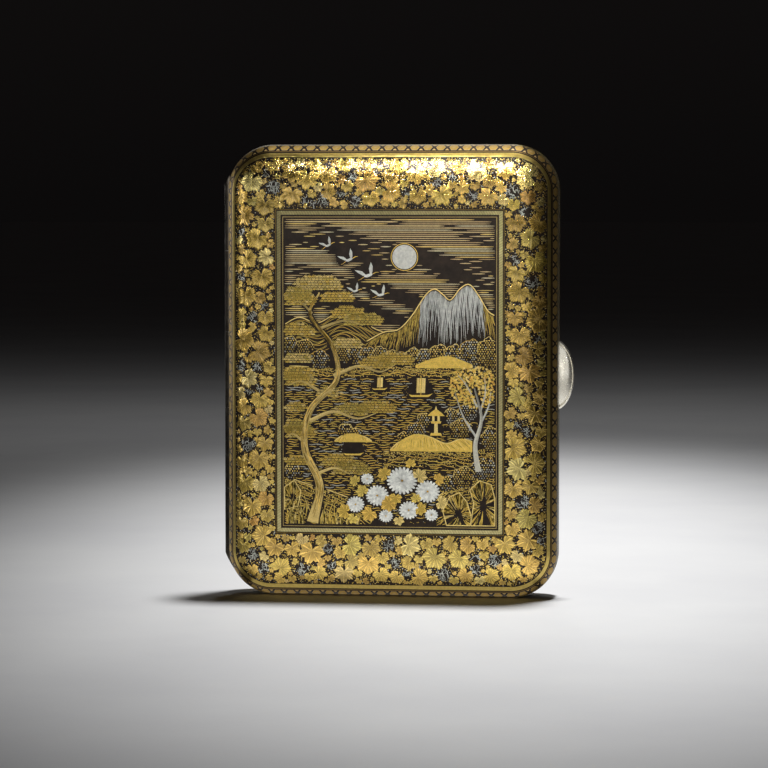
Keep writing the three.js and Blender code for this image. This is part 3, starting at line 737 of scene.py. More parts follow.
def lake_panel(name):
    """The framed picture on the lid: a bay with hills, a pine, wooded banks, boats and flowers by the water."""
    side = SIDES[name]
    rng = np.random.default_rng(77)
    gold, silver, bright, needles, stipple = Flat(side), Flat(side), Flat(side), Flat(side), Flat(side)
    taken = Mask()

    def free(x, z):
        return (np.abs(x) < PX - 0.2) & (np.abs(z) < PZ - 0.2) & ~taken.at(x, z)

    def runs(flat, line, width, col, h=0.05, least=3, taper=True):
        """A stroke along line wherever the place is free."""
        line = np.asarray(line, float)
        ok = free(line[:, 0], line[:, 1])
        i, n = 0, len(line)
        while i < n:
            if not ok[i]:
                i += 1
                continue
            j = i
            while j < n and ok[j]:
                j += 1
            if j - i >= least:
                w = np.broadcast_to(width, n)[i:j].copy()
                if taper:
                    w[0] *= 0.45
                    w[-1] *= 0.45
                flat.stroke(line[i:j], w, col, h)
            i = j

    def oval(cx, cz, a, b, lumps=7, k=40, low=1.0):
        t = np.linspace(0, 2 * math.pi, k, endpoint=False)
        e = 1 + 0.07 * np.sin(t * lumps + cx * 3) + 0.04 * np.sin(t * (2 * lumps + 1) + cz)
        return np.column_stack([cx + a * e * np.cos(t), cz + b * e * np.sin(t) * np.where(np.sin(t) < 0, low, 1.0)])

    PAL = {"gold": (0.40, 0.42, 0.10, 0.04, 0.04), "green": (0.16, 0.36, 0.16, 0.30, 0.02), "pale": (0.10, 0.34, 0.04, 0.52, 0.0), "dark": (0.06, 0.34, 0.06, 0.52, 0.02)}

    def crown(cx, cz, a, b, pal="gold", pitch=0.66, r=(0.17, 0.26)):
        """A tree's crown as stippled metal with a scalloped edge."""
        edge = oval(cx, cz, a, b, 7 if a > 3 else 5)
        edge[:, 0] = np.clip(edge[:, 0], -PX, PX)
        runs(gold, np.vstack([edge, edge[:1]])[2:20], 0.19, (PALE if pal != "dark" else BROWN) * 0.8, 0.06)
        gx, gz = np.meshgrid(np.arange(cx - a * 1.15, cx + a * 1.15, pitch), np.arange(cz - b * 1.15, cz + b * 1.15, pitch * 0.87), indexing="ij")
        gx = gx + (np.arange(gz.shape[1]) % 2) * pitch / 2
        x = (gx + rng.uniform(-0.07, 0.07, gx.shape)).ravel()
        z = (gz + rng.uniform(-0.07, 0.07, gz.shape)).ravel()
        ok = inside(edge, x, z) & free(x, z) & (rng.uniform(size=len(x)) < 0.95)
        x, z = x[ok], z[ok]
        if len(x):
            base = np.stack([GOLD, PALE, GREEN, SILVER, BROWN])[rng.choice(5, len(x), p=PAL[pal])]
            lit = 0.72 + 0.40 * np.clip((z - cz) / b + 0.25 * np.sin(x * 2.1), -0.6, 0.8)
            stipple.dots(x, z, rng.uniform(*r, len(x)) * (0.92 if pal == "dark" else 1.0), np.clip(base * lit[:, None], 0, 0.95), 0.08)
        taken.append(edge)

    def ground(crest, base, seed, step=0.66, tone=1.0):
        """Contour lines and grains below a crest line."""
        c = crest[np.argsort(crest[:, 0])]
        runs(gold, c, 0.27, PALE * 0.9 * tone, 0.07)
        r = np.random.default_rng(seed)
        for k in range(1, 26):
            s = c.copy()
            s[:, 1] -= k * step
            s[:, 1] += 0.30 * np.sin(s[:, 0] * 0.8 + k * 1.3) + 0.15 * np.sin(s[:, 0] * 2.3 + k)
            on = (s[:, 1] > base) & (noise2(s[:, 0] * 1.8, s[:, 1] * 1.6, seed + k) > -0.75)
            if on.sum() < 3:
                continue
            i = 0
            while i < len(s):
                if not on[i]:
                    i += 1
                    continue
                j = i
                while j < len(s) and on[j]:
                    j += 1
                if j - i > 2:
                    runs(gold, s[i:j], 0.18, (GOLD, GOLD, GREEN, BROWN)[k % 4] * r.uniform(0.6, 0.95) * tone, 0.05)
                i = j
        n = int((c[-1, 0] - c[0, 0]) * 22)
        x = r.uniform(c[0, 0], c[-1, 0], n)
        z = np.interp(x, c[:, 0], c[:, 1]) - 0.3 - r.exponential(2.2, n)
        ok = (z > base) & free(x, z)
        stipple.dots(x[ok], z[ok], r.uniform(0.10, 0.17, ok.sum()), np.stack([GOLD, PALE, GREEN])[r.choice(3, ok.sum())] * r.uniform(0.6, 1.0, (ok.sum(), 1)), 0.06)
        taken.append(np.vstack([c, [(c[-1, 0], base), (c[0, 0], base)]]))

    def hump(pts, base, col=GOLD, lines=26, seed=1):
        """A rounded hill in solid gold with cut lines down its slopes."""
        c = smooth_line(pts, 8)
        poly = np.vstack([c, [(c[-1, 0], base), (c[0, 0], base)]])
        m = poly.copy()
        m[:, 0] = np.clip(m[:, 0], -PX + 0.2, PX - 0.2)
        bright.poly(m, col, 0.055)
        r = np.random.default_rng(seed)
        top = c[np.argmax(c[:, 1])]
        for k in range(lines):
            f = (k + 0.5) / lines
            x0 = np.interp(f, [0, 1], [c[1, 0], c[-2, 0]])
            z0 = np.interp(x0, c[:, 0], c[:, 1]) - 0.35
            L = (z0 - base) * r.uniform(0.5, 0.95)
            if L < 0.6:
                continue
            s = np.linspace(0, 1, 5)
            line = np.column_stack([x0 + (x0 - top[0]) * 0.20 * s, z0 - L * s])
            runs(gold, line, [0.10, 0.15, 0.13, 0.10, 0.05], (BROWN * 0.55, PALE * 1.02)[k % 3 == 0], 0.075, least=3)
        runs(gold, c, 0.24, PALE, 0.085)
        taken.append(m)

    # ---- the big pine on the left, in front of the rest
    trunk = smooth_line([(-20.5, -39.9), (-18.6, -30), (-22.6, -20), (-21.0, -10), (-14.0, -2), (-15.2, 7), (-21.0, 15), (-18.6, 21)], 14)
    tw = np.interp(np.linspace(0, 1, len(trunk)), [0, 0.08, 0.5, 1], [3.6, 2.5, 1.7, 0.5])
    t = np.gradient(trunk, axis=0)
    t /= np.linalg.norm(t, axis=1, keepdims=True)
    nn = np.column_stack([-t[:, 1], t[:, 0]])
    wob = 1 + 0.16 * np.sin(np.arange(len(trunk)) * 0.9)
    pads = []
    for pts, w in [([(-21.2, -13), (-15, -10.5), (-8.5, -12.2), (-3.5, -10.8)], 1.1), ([(-14.8, -1), (-8, 1.6), (-2.5, 0.2), (1.5, 2.0)], 1.0), ([(-18.6, 11.5), (-12, 13.6), (-7.0, 12.4)], 0.8),
                   ([(-22.4, -19), (-25.6, -16.5), (-27.4, -17.5)], 0.8), ([(-19, -4.8), (-23.5, -2.5), (-27, -3.6)], 0.8), ([(-20.5, 15.5), (-24, 18.5), (-27, 17.6)], 0.6), ([(-19.4, -27), (-14.5, -25.4), (-10.5, -27.0)], 0.9)]:
        b = smooth_line(pts, 10)
        bright.stroke(b, np.linspace(w, 0.22, len(b)), np.array([0.66, 0.50, 0.19]), 0.06, 0.05)
        taken.append(np.vstack([b + [0, 0.4], (b - [0, 0.4])[::-1]]))
        m = b[len(b) * 6 // 10]
        pads += [(b[-1, 0] * 0.97, b[-1, 1] + 1.0, 5.0, 2.2), (m[0], m[1] + 1.6, 4.5, 2.0)]
    bright.stroke(trunk, tw * 0.86, np.array([0.66, 0.49, 0.18]), 0.06, 0.10)
    for k in range(190):
        i = rng.integers(2, len(trunk) - 6)
        f = rng.uniform(-0.36, 0.36)
        gold.stroke(trunk[i:i + 4] + nn[i:i + 4] * (tw[i:i + 4] * f)[:, None], 0.13, BROWN * (0.45 if k % 3 else 1.3), 0.175)
    taken.append(np.vstack([trunk + nn * (tw * wob / 2)[:, None], (trunk - nn * (tw / 2)[:, None])[::-1]]))
    pads += [(-19.0, 22.8, 6.2, 2.7), (-14.0, 19.4, 4.2, 1.9), (-24.2, 10.6, 4.2, 2.0), (-24.6, 3.2, 3.8, 1.8), (-11.0, 7.2, 4.0, 1.8), (-16.2, -5.8, 3.0, 1.5), (-25.2, -9.8, 3.0, 1.5), (-24.6, -24.0, 3.4, 1.6)]
    for cx, cz, a, b in pads:
        cx = max(cx, -PX + a * 0.75)
        shape = oval(cx, cz, a, b, 7, 40, 0.45)
        shape[:, 0] = np.clip(shape[:, 0], -PX + 0.2, PX - 0.2)
        taken.append(shape)
        tone = rng.choice(3, p=(0.55, 0.25, 0.20))
        for row in range(9):
            z = cz - b * 0.40 + row * 0.66
            if z > cz + b * 0.92:
                break
            half = a * math.sqrt(max(0, 1 - ((z - cz) / (b * 1.02)) ** 2)) if z > cz else a * 0.95
            for x in np.arange(cx - half, cx + half, 0.98) + (row % 2) * 0.49:
                if abs(x) > PX - 0.5:
                    continue
                c = (GOLD, GREEN, PALE)[tone if rng.uniform() < 0.7 else rng.integers(3)] * rng.uniform(0.75, 1.05)
                for d in (-1.35, -0.70, 0.0, 0.70, 1.35):
                    q = rng.uniform(0.56, 0.80)
                    needles.stroke([(x, z), (x + q * math.sin(d), z + q * math.cos(d))], [0.20, 0.10], c * (1.05 if d else 0.8), 0.08)

    # ---- chrysanthemums in silver and gold on the near bank
    def bloom(cx, cz, r, petals, flat=0.9):
        for q, (r0, r1, k) in enumerate([(0.36, 1.0, petals), (0.20, 0.72, petals - 3), (0.08, 0.44, petals - 7)]):
            for i in range(k):
                t_ = (i + 0.5 * q) * 2 * math.pi / k
                d, e = np.array([math.cos(t_), math.sin(t_)]), np.array([-math.sin(t_), math.cos(t_)])
                ww = r * r1 * math.sin(math.pi / k) * 0.78
                m = r0 + (r1 - r0) * 0.6
                pts = np.array([d * r * r0 - e * ww * 0.35, d * r * m - e * ww, d * r * r1 * 0.96 - e * ww * 0.6, d * r * r1, d * r * r1 * 0.96 + e * ww * 0.6, d * r * m + e * ww, d * r * r0 + e * ww * 0.35])
                silver.poly(pts * [1, flat] + (cx, cz), SILVER * rng.uniform(0.85, 1.2), 0.05 + 0.035 * q)
        gold.dots(cx + np.array([0, 0.24, -0.24, 0, 0]), cz + np.array([0, 0, 0, 0.22, -0.22]), 0.2, GOLD, 0.18)
        taken.append(oval(cx, cz, r * 1.04, r * 1.04 * flat, 1))

    def spray(cx, cz, r, turn, col):
        v, hgt, shade, T, loop = LEAVES["sharp"]
        c, d = math.cos(turn), math.sin(turn)
        q = np.column_stack([v[:, 0] * c - v[:, 1] * d, v[:, 0] * d + v[:, 1] * c]) * r + (cx, cz)
        V, F = solid_template(q, 0.03 + 0.05 * hgt, T, loop, -0.05)
        bright.lay(V, F, np.concatenate([shade, shade])[:, None] * col)
        taken.append(q[loop])

    for cx, cz, r, k in [(3.4, -28.6, 4.1, 22), (10.2, -31.4, 3.3, 20), (-3.2, -32.6, 3.1, 20), (-9.0, -35.0, 2.4, 18), (5.2, -36.4, 2.7, 18), (-0.9, -38.0, 1.9, 16), (-5.9, -28.2, 1.7, 14), (11.2, -37.6, 1.8, 14)]:
        bloom(cx, cz, r, k)
    for cx, cz, r, tn in [(-0.6, -35.0, 2.2, 2.2), (8.4, -27.0, 2.0, -0.8), (-1.6, -26.6, 1.9, 0.9), (8.6, -36.2, 1.7, -2.0), (1.6, -33.6, 1.7, 3.0), (-5.6, -37.8, 2.1, 2.4), (-12.4, -36.8, 2.0, 1.4), (-7.4, -31.2, 1.7, 0.6), (13.4, -28.0, 1.6, -1.2),
                          (-9.8, -39.0, 1.5, 2.6), (2.6, -39.4, 1.4, 3.4), (14.2, -34.4, 1.8, -1.8), (7.0, -33.0, 1.4, 0.4), (-9.4, -28.6, 1.5, 1.0), (5.6, -23.8, 1.4, 0.2)]:
        spray(cx, cz, r, tn, (GOLD, GREEN * 1.2, PALE, BROWN * 1.2)[rng.integers(4)] * rng.uniform(0.85, 1.0))
    for k in range(120):
        x0 = rng.uniform(-27.6, -8.0)
        hgt = rng.uniform(2.4, 7.4) * (1.15 - abs(x0 + 25) / 28)
        lean = rng.uniform(-0.5, 0.7)
        s = np.linspace(0, 1, 6)
        runs(gold, np.column_stack([x0 + lean * hgt * 0.55 * s ** 2, -40.3 + hgt * s]), np.linspace(0.26, 0.08, 6), (GOLD, GREEN, PALE)[k % 3] * rng.uniform(0.75, 1.0), 0.06)

    # ---- rocky bank at the lower right, with trees over it
    def rock(pts, seed):
        p = np.asarray(pts, float)
        r = np.random.default_rng(seed)
        gold.stroke(np.vstack([p, p[:1]]), 0.26, PALE * 0.95, 0.08)
        m = p.mean(0)
        for k in range(90):
            e = r.integers(len(p))
            s0 = p[e] + (p[(e + 1) % len(p)] - p[e]) * r.uniform()
            s1 = s0 + (m + [0.3, -1.2] - s0) * r.uniform(0.25, 0.8)
            gold.stroke([s0, (s0 + s1) / 2 + r.uniform(-0.2, 0.2, 2), s1], [0.28, 0.20, 0.08], (GOLD, PALE, GREEN, BROWN)[r.choice(4, p=(0.45, 0.25, 0.15, 0.15))] * r.uniform(0.7, 1.0), 0.06)
        taken.append(p)

    rock([(15.2, -40.3), (14.2, -36.4), (16.0, -32.8), (18.6, -31.6), (20.6, -34.0), (21.8, -38.0), (21.4, -40.3)], 5)
    rock([(21.6, -40.3), (22.4, -34.4), (21.4, -30.8), (24.0, -28.4), (27.0, -29.4), (28.0, -33), (28.0, -40.3)], 6)
    rock([(-28.0, -30.6), (-25.4, -28.8), (-23.6, -31.6), (-24.4, -35.6), (-28.0, -36.6)], 7)
    for cx, cz, a, b, p in [(25.2, -25.2, 3.4, 3.2, "dark"), (20.0, -27.6, 3.2, 2.8, "gold"), (15.4, -29.2, 2.3, 2.0, "green"), (-26.0, -26.4, 2.2, 1.9, "green")]:
        crown(cx, cz, a, b, p)
    ground(smooth_line([(12.6, -33.0), (16.6, -30.0), (21.4, -28.4), (25.0, -26.8), (28.0, -26.0)], 10), -40.4, 41)
    ground(smooth_line([(-28.0, -27.6), (-23.0, -29.4), (-16.0, -31.4), (-9.0, -34.0), (-4.0, -36.6)], 10), -40.4, 43)

    # ---- wooded point on the right: solid gold hills, a stone lantern, a maple and crowns
    lx, lz = 12.4, -16.6
    for pts, col in [([(-1.6, 0), (1.6, 0), (1.3, 0.7), (-1.3, 0.7)], GOLD), ([(-0.5, 0.7), (0.5, 0.7), (0.42, 3.2), (-0.42, 3.2)], PALE), ([(-1.2, 3.2), (1.2, 3.2), (1.45, 3.8), (-1.45, 3.8)], GOLD),
                     ([(-1.0, 3.8), (-0.4, 3.8), (-0.4, 5.2), (-1.0, 5.2)], PALE), ([(0.4, 3.8), (1.0, 3.8), (1.0, 5.2), (0.4, 5.2)], PALE), ([(-2.3, 5.2), (2.3, 5.2), (1.3, 6.2), (0.3, 6.9), (-0.3, 6.9), (-1.3, 6.2)], GOLD), ([(-0.28, 6.9), (0.28, 6.9), (0, 7.9)], PALE)]:
        bright.poly(np.asarray(pts) + (lx, lz), col, 0.09)
    taken.append(np.array([(lx - 2.6, lz + 5.0), (lx + 2.6, lz + 5.0), (lx + 1.4, lz + 6.6), (lx, lz + 8.3), (lx - 1.4, lz + 6.6)]))
    taken.append(np.array([(lx - 1.8, lz - 0.2), (lx + 1.8, lz - 0.2), (lx + 1.5, lz + 5.4), (lx - 1.5, lz + 5.4)]))
    mt = smooth_line([(23.6, -26.0), (22.8, -19), (24.4, -12), (22.6, -4.0)], 10)
    bright.stroke(mt, np.linspace(1.5, 0.4, len(mt)), SILVER * np.array([1.0, 0.97, 0.90]), 0.07, 0.07)
    taken.append(np.vstack([mt + [0.8, 0], (mt - [0.8, 0])[::-1]]))
    for pts in [[(23.1, -17), (19.6, -11.5), (17.2, -4.6)], [(23.9, -14), (26.2, -9), (26.9, -5.0)], [(23.3, -9), (20.4, -3.2), (18.2, -0.6)], [(24.0, -10.6), (25.4, -5.4), (25.2, -1.2)]]:
        b = smooth_line(pts, 8)
        bright.stroke(b, np.linspace(0.6, 0.18, len(b)), SILVER * 0.9, 0.07, 0.03)
    for k in range(520):
        a_, rr_ = rng.uniform(0, 2 * math.pi), math.sqrt(rng.uniform())
        x, z = 22.4 + 6.4 * rr_ * math.cos(a_), -3.6 + 5.6 * rr_ * math.sin(a_)
        if not free(np.array([x]), np.array([z]))[0] or x > PX - 0.6:
            continue
        tw_, q = rng.uniform(0, 6.28), rng.uniform(0.85, 1.2)
        gold.poly([(x + q * (0.42 if i % 2 == 0 else 0.19) * math.cos(tw_ + i * math.pi / 5), z + q * (0.42 if i % 2 == 0 else 0.19) * math.sin(tw_ + i * math.pi / 5)) for i in range(10)], (GOLD, PALE, BROWN * 1.3, RED, GREEN)[rng.choice(5, p=(0.38, 0.2, 0.22, 0.12, 0.08))] * rng.uniform(0.85, 1.05), rng.uniform(0.06, 0.11))
        taken.append(np.array([(x - 0.26, z - 0.26), (x + 0.26, z - 0.26), (x + 0.26, z + 0.26), (x - 0.26, z + 0.26)]))
    for cx, cz, a, b, p in [(27.0, -17.6, 2.6, 3.4, "green"), (19.0, -14.8, 2.9, 2.6, "gold"), (7.0, -15.4, 2.4, 2.2, "dark"), (4.0, -17.2, 1.7, 1.5, "gold"), (16.4, -11.4, 2.1, 2.0, "pale"), (9.2, -12.6, 1.9, 1.9, "green"), (20.6, -10.6, 2.6, 2.4, "dark")]:
        crown(cx, cz, a, b, p)
    hump([(0.2, -20.4), (3.0, -18.0), (7.0, -16.2), (11.0, -17.0), (15.0, -18.6), (19.0, -17.4), (22.0, -18.0)], -20.8, GOLD, 40, 3)
    ground(smooth_line([(-1.5, -20.9), (6.0, -20.4), (14.0, -20.0), (21.0, -20.4), (28.0, -19.0)], 10), -25.2, 51)

    # ---- boats, an islet
    def boat(cx, cz, s, sail=True):
        bright.poly(np.asarray([(-2.6, 0.55), (-2.1, 0.0), (1.9, 0.0), (2.9, 0.8), (1.6, 0.45), (-1.8, 0.4)]) * s + (cx, cz), GOLD, 0.09)
        if sail:
            bright.poly(np.asarray([(-0.9, 0.9), (1.1, 0.9), (1.25, 4.3), (-0.75, 4.3)]) * s + (cx, cz), PALE, 0.06)
            for f in (0.1, 0.6, 1.1):
                gold.stroke(np.asarray([(-0.9 + f, 0.9), (-0.75 + f, 4.3)]) * s + (cx, cz), 0.12, BROWN * 0.6, 0.10)
            gold.stroke(np.asarray([(0.15, 0.4), (0.2, 4.9)]) * s + (cx, cz), 0.16, GOLD, 0.10)
        taken.append(np.asarray([(-2.9, -0.3), (3.1, -0.3), (3.1, 1.0), (1.5, 4.8), (-1.2, 4.8), (-2.9, 0.9)]) * s + (cx, cz))

    boat(8.2, -6.4, 1.15)
    boat(-2.6, -4.6, 0.75)
    boat(-9.6, -22.0, 1.0, False)
    for cx, cz, a, b, p in [(-11.6, -15.4, 2.0, 1.7, "gold"), (-8.8, -16.2, 1.6, 1.4, "green")]:
        crown(cx, cz, a, b, p)
    hump([(-14.6, -18.2), (-12.2, -16.6), (-9.0, -16.2), (-6.2, -17.2), (-4.6, -18.2)], -18.5, GOLD * 0.95, 18, 4)

    # ---- far shore: a long row of crowns on low hills
    for cx, cz, a, b, p in [(26.2, 4.6, 3.2, 4.6, "gold"), (21.6, 5.0, 3.0, 3.8, "dark"), (17.2, 4.2, 2.8, 3.2, "green"), (13.2, 4.4, 2.6, 3.0, "gold"), (9.6, 3.8, 2.3, 2.5, "pale"), (6.4, 4.0, 2.1, 2.5, "gold"), (3.4, 3.6, 1.9, 1.9, "dark"),
                           (0.6, 3.8, 1.8, 2.1, "green"), (-2.4, 4.4, 2.2, 2.4, "gold"), (-5.6, 4.2, 2.2, 2.6, "dark"), (-8.8, 4.6, 2.2, 2.4, "green"), (-12.2, 4.6, 2.4, 2.2, "gold"), (-26.0, -1.0, 2.2, 2.0, "gold"), (-18.6, 3.2, 2.6, 2.6, "dark"), (-22.6, 6.6, 2.4, 2.0, "gold"), (-26.6, 7.0, 2.2, 2.4, "green")]:
        crown(cx, cz, a, b, p)
    hump([(7.0, 2.0), (11.0, 3.6), (15.4, 4.4), (19.0, 3.4), (22.0, 2.2)], 1.2, GOLD * 0.92, 26, 6)
    ground(smooth_line([(-28.2, 1.6), (-12, 1.2), (-2, 2.0), (8, 1.4), (17, 2.2), (28.2, 1.6)], 10), -1.2, 61, 0.5)

    # ---- hills behind
    crest = smooth_line([(-6.0, 8.2), (-1.5, 10.6), (2.5, 11.4), (6.0, 15.0), (9.6, 20.4), (12.0, 22.0), (14.2, 20.6), (16.2, 19.2), (18.8, 22.2), (21.2, 23.2), (23.6, 20.4), (26.0, 16.4), (28.0, 15.0)], 8)
    gold.stroke(crest[:-1], 0.28, PALE, 0.07)
    for k in range(150):
        x0 = np.interp((k + 0.5) / 150, [0, 1], [-5.0, 27.8])
        z0 = np.interp(x0, crest[:, 0], crest[:, 1]) - 0.45
        s = np.linspace(0, 1, 7)
        L = rng.uniform(0.4, 1.0) * (z0 - 5.0)
        if L > 0.8:
            snow = z0 > 18.0
            runs(silver if snow else gold, np.column_stack([x0 + (x0 - 15.4) * 0.10 * s + 0.12 * np.sin(s * 9 + k), z0 - L * s]), np.linspace(0.24 if snow else 0.19, 0.08, 7), SILVER * 0.9 if snow else (GOLD, GREEN, BROWN)[k % 3] * rng.uniform(0.6, 0.95), 0.05)
    taken.append(np.vstack([crest, [(28.2, 5.0), (-6, 5.0)]]))
    crest = smooth_line([(-28.2, 12.4), (-24, 14.4), (-19, 13.0), (-13, 16.0), (-8.5, 14.6), (-4.0, 11.6), (0.0, 10.2)], 10)
    runs(gold, crest, 0.25, PALE * 0.9, 0.07)
    for k in range(1, 15):
        s = crest.copy()
        s[:, 1] -= k * 0.62
        s[:, 1] += 0.22 * np.sin(s[:, 0] * 0.9 + k * 1.9)
        runs(gold, s, 0.17, (GOLD, BROWN, GREEN)[k % 3] * rng.uniform(0.55, 0.85), 0.05)
    taken.append(np.vstack([crest, [(0, 4.0), (-28.2, 4.0)]]))

    # ---- moon and cranes
    mx, mz, mr = 4.0, 30.4, 3.2
    a = np.linspace(0, 2 * math.pi, 56, endpoint=False)
    silver.poly(np.column_stack([mx + mr * np.cos(a), mz + mr * np.sin(a)]), SILVER * 0.80, 0.045)
    o_ = np.column_stack([mx + (mr + 0.32) * np.cos(a), mz + (mr + 0.32) * np.sin(a)])
    gold.stroke(np.vstack([o_, o_[:1]]), 0.17, GOLD, 0.05)
    taken.append(np.column_stack([mx + (mr + 0.5) * np.cos(a), mz + (mr + 0.5) * np.sin(a)]))
    for cx, cz, s, tilt in [(-5.5, 25.5, 1.25, 0.3), (-10.6, 29.6, 1.05, 0.38), (-2.2, 20.4, 1.0, 0.2), (-16.2, 33.4, 0.85, 0.42), (-9.0, 21.4, 0.8, 0.26)]:
        def at(pts):
            p = np.asarray(pts, float) * s
            c, d = math.cos(tilt), math.sin(tilt)
            return np.column_stack([cx + p[:, 0] * c - p[:, 1] * d, cz + p[:, 0] * d + p[:, 1] * c])
        silver.poly(at([(-1.1, 0.05), (-0.5, 0.35), (0.4, 0.35), (1.0, 0.12), (0.6, -0.2), (-0.4, -0.3)]), SILVER, 0.07)
        silver.poly(at([(-0.45, 0.25), (-1.1, 1.3), (-2.5, 2.0), (-2.0, 1.2), (-1.2, 0.35), (-0.6, 0.1)]), SILVER * 0.9, 0.05)
        silver.poly(at([(0.35, 0.25), (0.5, 1.4), (1.3, 2.6), (1.4, 1.6), (1.1, 0.7), (0.7, 0.12)]), SILVER * 0.9, 0.05)
        gold.stroke(at([(1.0, 0.1), (1.7, 0.2), (2.3, 0.05)]), [0.22, 0.14, 0.08], GOLD, 0.07)
        gold.stroke(at([(-1.0, 0.0), (-1.8, -0.25), (-2.4, -0.3)]), [0.16, 0.12, 0.08], BROWN, 0.07)
        taken.append(at([(-2.7, -0.5), (2.5, -0.5), (2.0, 2.9), (-2.8, 2.3)]))

    # ---- haze: broken level lines
    for k in range(64):
        z = 40.2 - k * 0.545
        xs = np.arange(-PX + 0.35, PX - 0.35, 0.22)
        zz = np.full_like(xs, z)
        thr = np.interp(z, [4, 12, 24, 33, 41], [0.10, 0.02, -0.10, -0.18, -0.34])
        on = (noise2(xs * 0.9, zz * 2.1, 3) + 0.25 * np.sin(xs * 0.7 + k * 2.1) > thr) & free(xs, zz)
        i = 0
        while i < len(xs):
            if not on[i]:
                i += 1
                continue
            j = i
            while j < len(xs) and on[j]:
                j += 1
            lo, hi = xs[i] + rng.uniform(0, 0.5), xs[j - 1] - rng.uniform(0, 0.5)
            if hi - lo > 0.8:
                n = max(4, int((hi - lo) / 1.6))
                w = np.full(n, rng.uniform(0.19, 0.30))
                w[0] = w[-1] = 0.08
                gold.stroke(np.column_stack([np.linspace(lo, hi, n), np.full(n, z)]), w, HAZE[rng.choice(4, p=(0.34, 0.30, 0.20, 0.16))] * rng.uniform(0.85, 1.1), 0.045)
            i = j + 1

    # ---- water: level ripples wherever it is still free
    for k in range(66):
        z = 0.6 - k * 0.60
        x = -PX + rng.uniform(0.3, 1.6)
        while x < PX - 1.2:
            L = rng.uniform(1.4, 5.0) * np.interp(z, [-38, 1], [0.75, 1.25])
            s = np.linspace(x, min(x + L, PX - 0.4), 7)
            runs(gold, np.column_stack([s, z + 0.12 * np.sin((s - x) * 2.2 + k)]), 0.19, (GOLD * 0.8, GREEN * 0.9, SILVER * 0.7, BROWN)[rng.choice(4, p=[0.42, 0.2, 0.18, 0.2])], 0.045)
            x += L + rng.uniform(0.25, 1.1)
    x, z = rng.uniform(-PX + 0.4, PX - 0.4, 1800), rng.uniform(-PZ + 0.5, 1.5, 1800)
    ok = free(x, z)
    stipple.dots(x[ok], z[ok], rng.uniform(0.08, 0.13, ok.sum()), np.where(rng.uniform(size=(ok.sum(), 1)) < 0.3, SILVER * 0.7, GOLD * 0.7), 0.05)
    b = BODY[name]
    return [flat.soup.build("lid_picture_" + part, b, [MATS[mat]]) for flat, part, mat in ((needles, "needles", "gold_fine"), (stipple, "stipple", "gold_fine"), (gold, "lines", "gold_fine"), (silver, "silver", "silver_bright"), (bright, "relief", "gold_fine"))]


def wave_diaper(name):
    """The plain back panel: rows of overlapping wave scales, an old textile and metalwork pattern."""
    f = Flat(SIDES[name])
    rr = 3.2
    a = np.linspace(0.0, math.pi, 15)
    rows = int(2 * PZ / (rr / 2)) + 1
    for j in range(-2, rows + 1):
        z0 = -PZ - rr * 0.2 + j * rr / 2
        for i in range(-10, 11):
            x0 = i * 2 * rr + (j % 2) * rr
            for q, (rad, col, w) in enumerate([(rr * 0.94, GOLD, 0.26), (rr * 0.72, GREEN, 0.20), (rr * 0.50, PALE, 0.20), (rr * 0.28, SILVER, 0.20)]):
                x, z = x0 + rad * np.cos(a), z0 + rad * np.sin(a)
                # keep the part that neighbours in front do not cover
                cover = np.zeros(len(a), bool)
                for dx, dz in ((-rr, -rr / 2), (rr, -rr / 2), (0, -rr), (-2 * rr, -rr), (2 * rr, -rr)):
                    cover |= (np.hypot(x - x0 - dx, z - z0 - dz) < rr * 1.02)
                ok = ~cover & (np.abs(x) < PX - 0.1) & (np.abs(z) < PZ - 0.1)
                k = 0
                while k < len(a):
                    if ok[k]:
                        m = k
                        while m < len(a) and ok[m]:
                            m += 1
                        if m - k > 1:
                            f.stroke(np.column_stack([x[k:m], z[k:m]]), w, col * 0.9, 0.05)
                        k = m
                    k += 1
    return f.soup.build(name + "_diaper_inlay", BODY[name], [MATS["gold_fine"]])


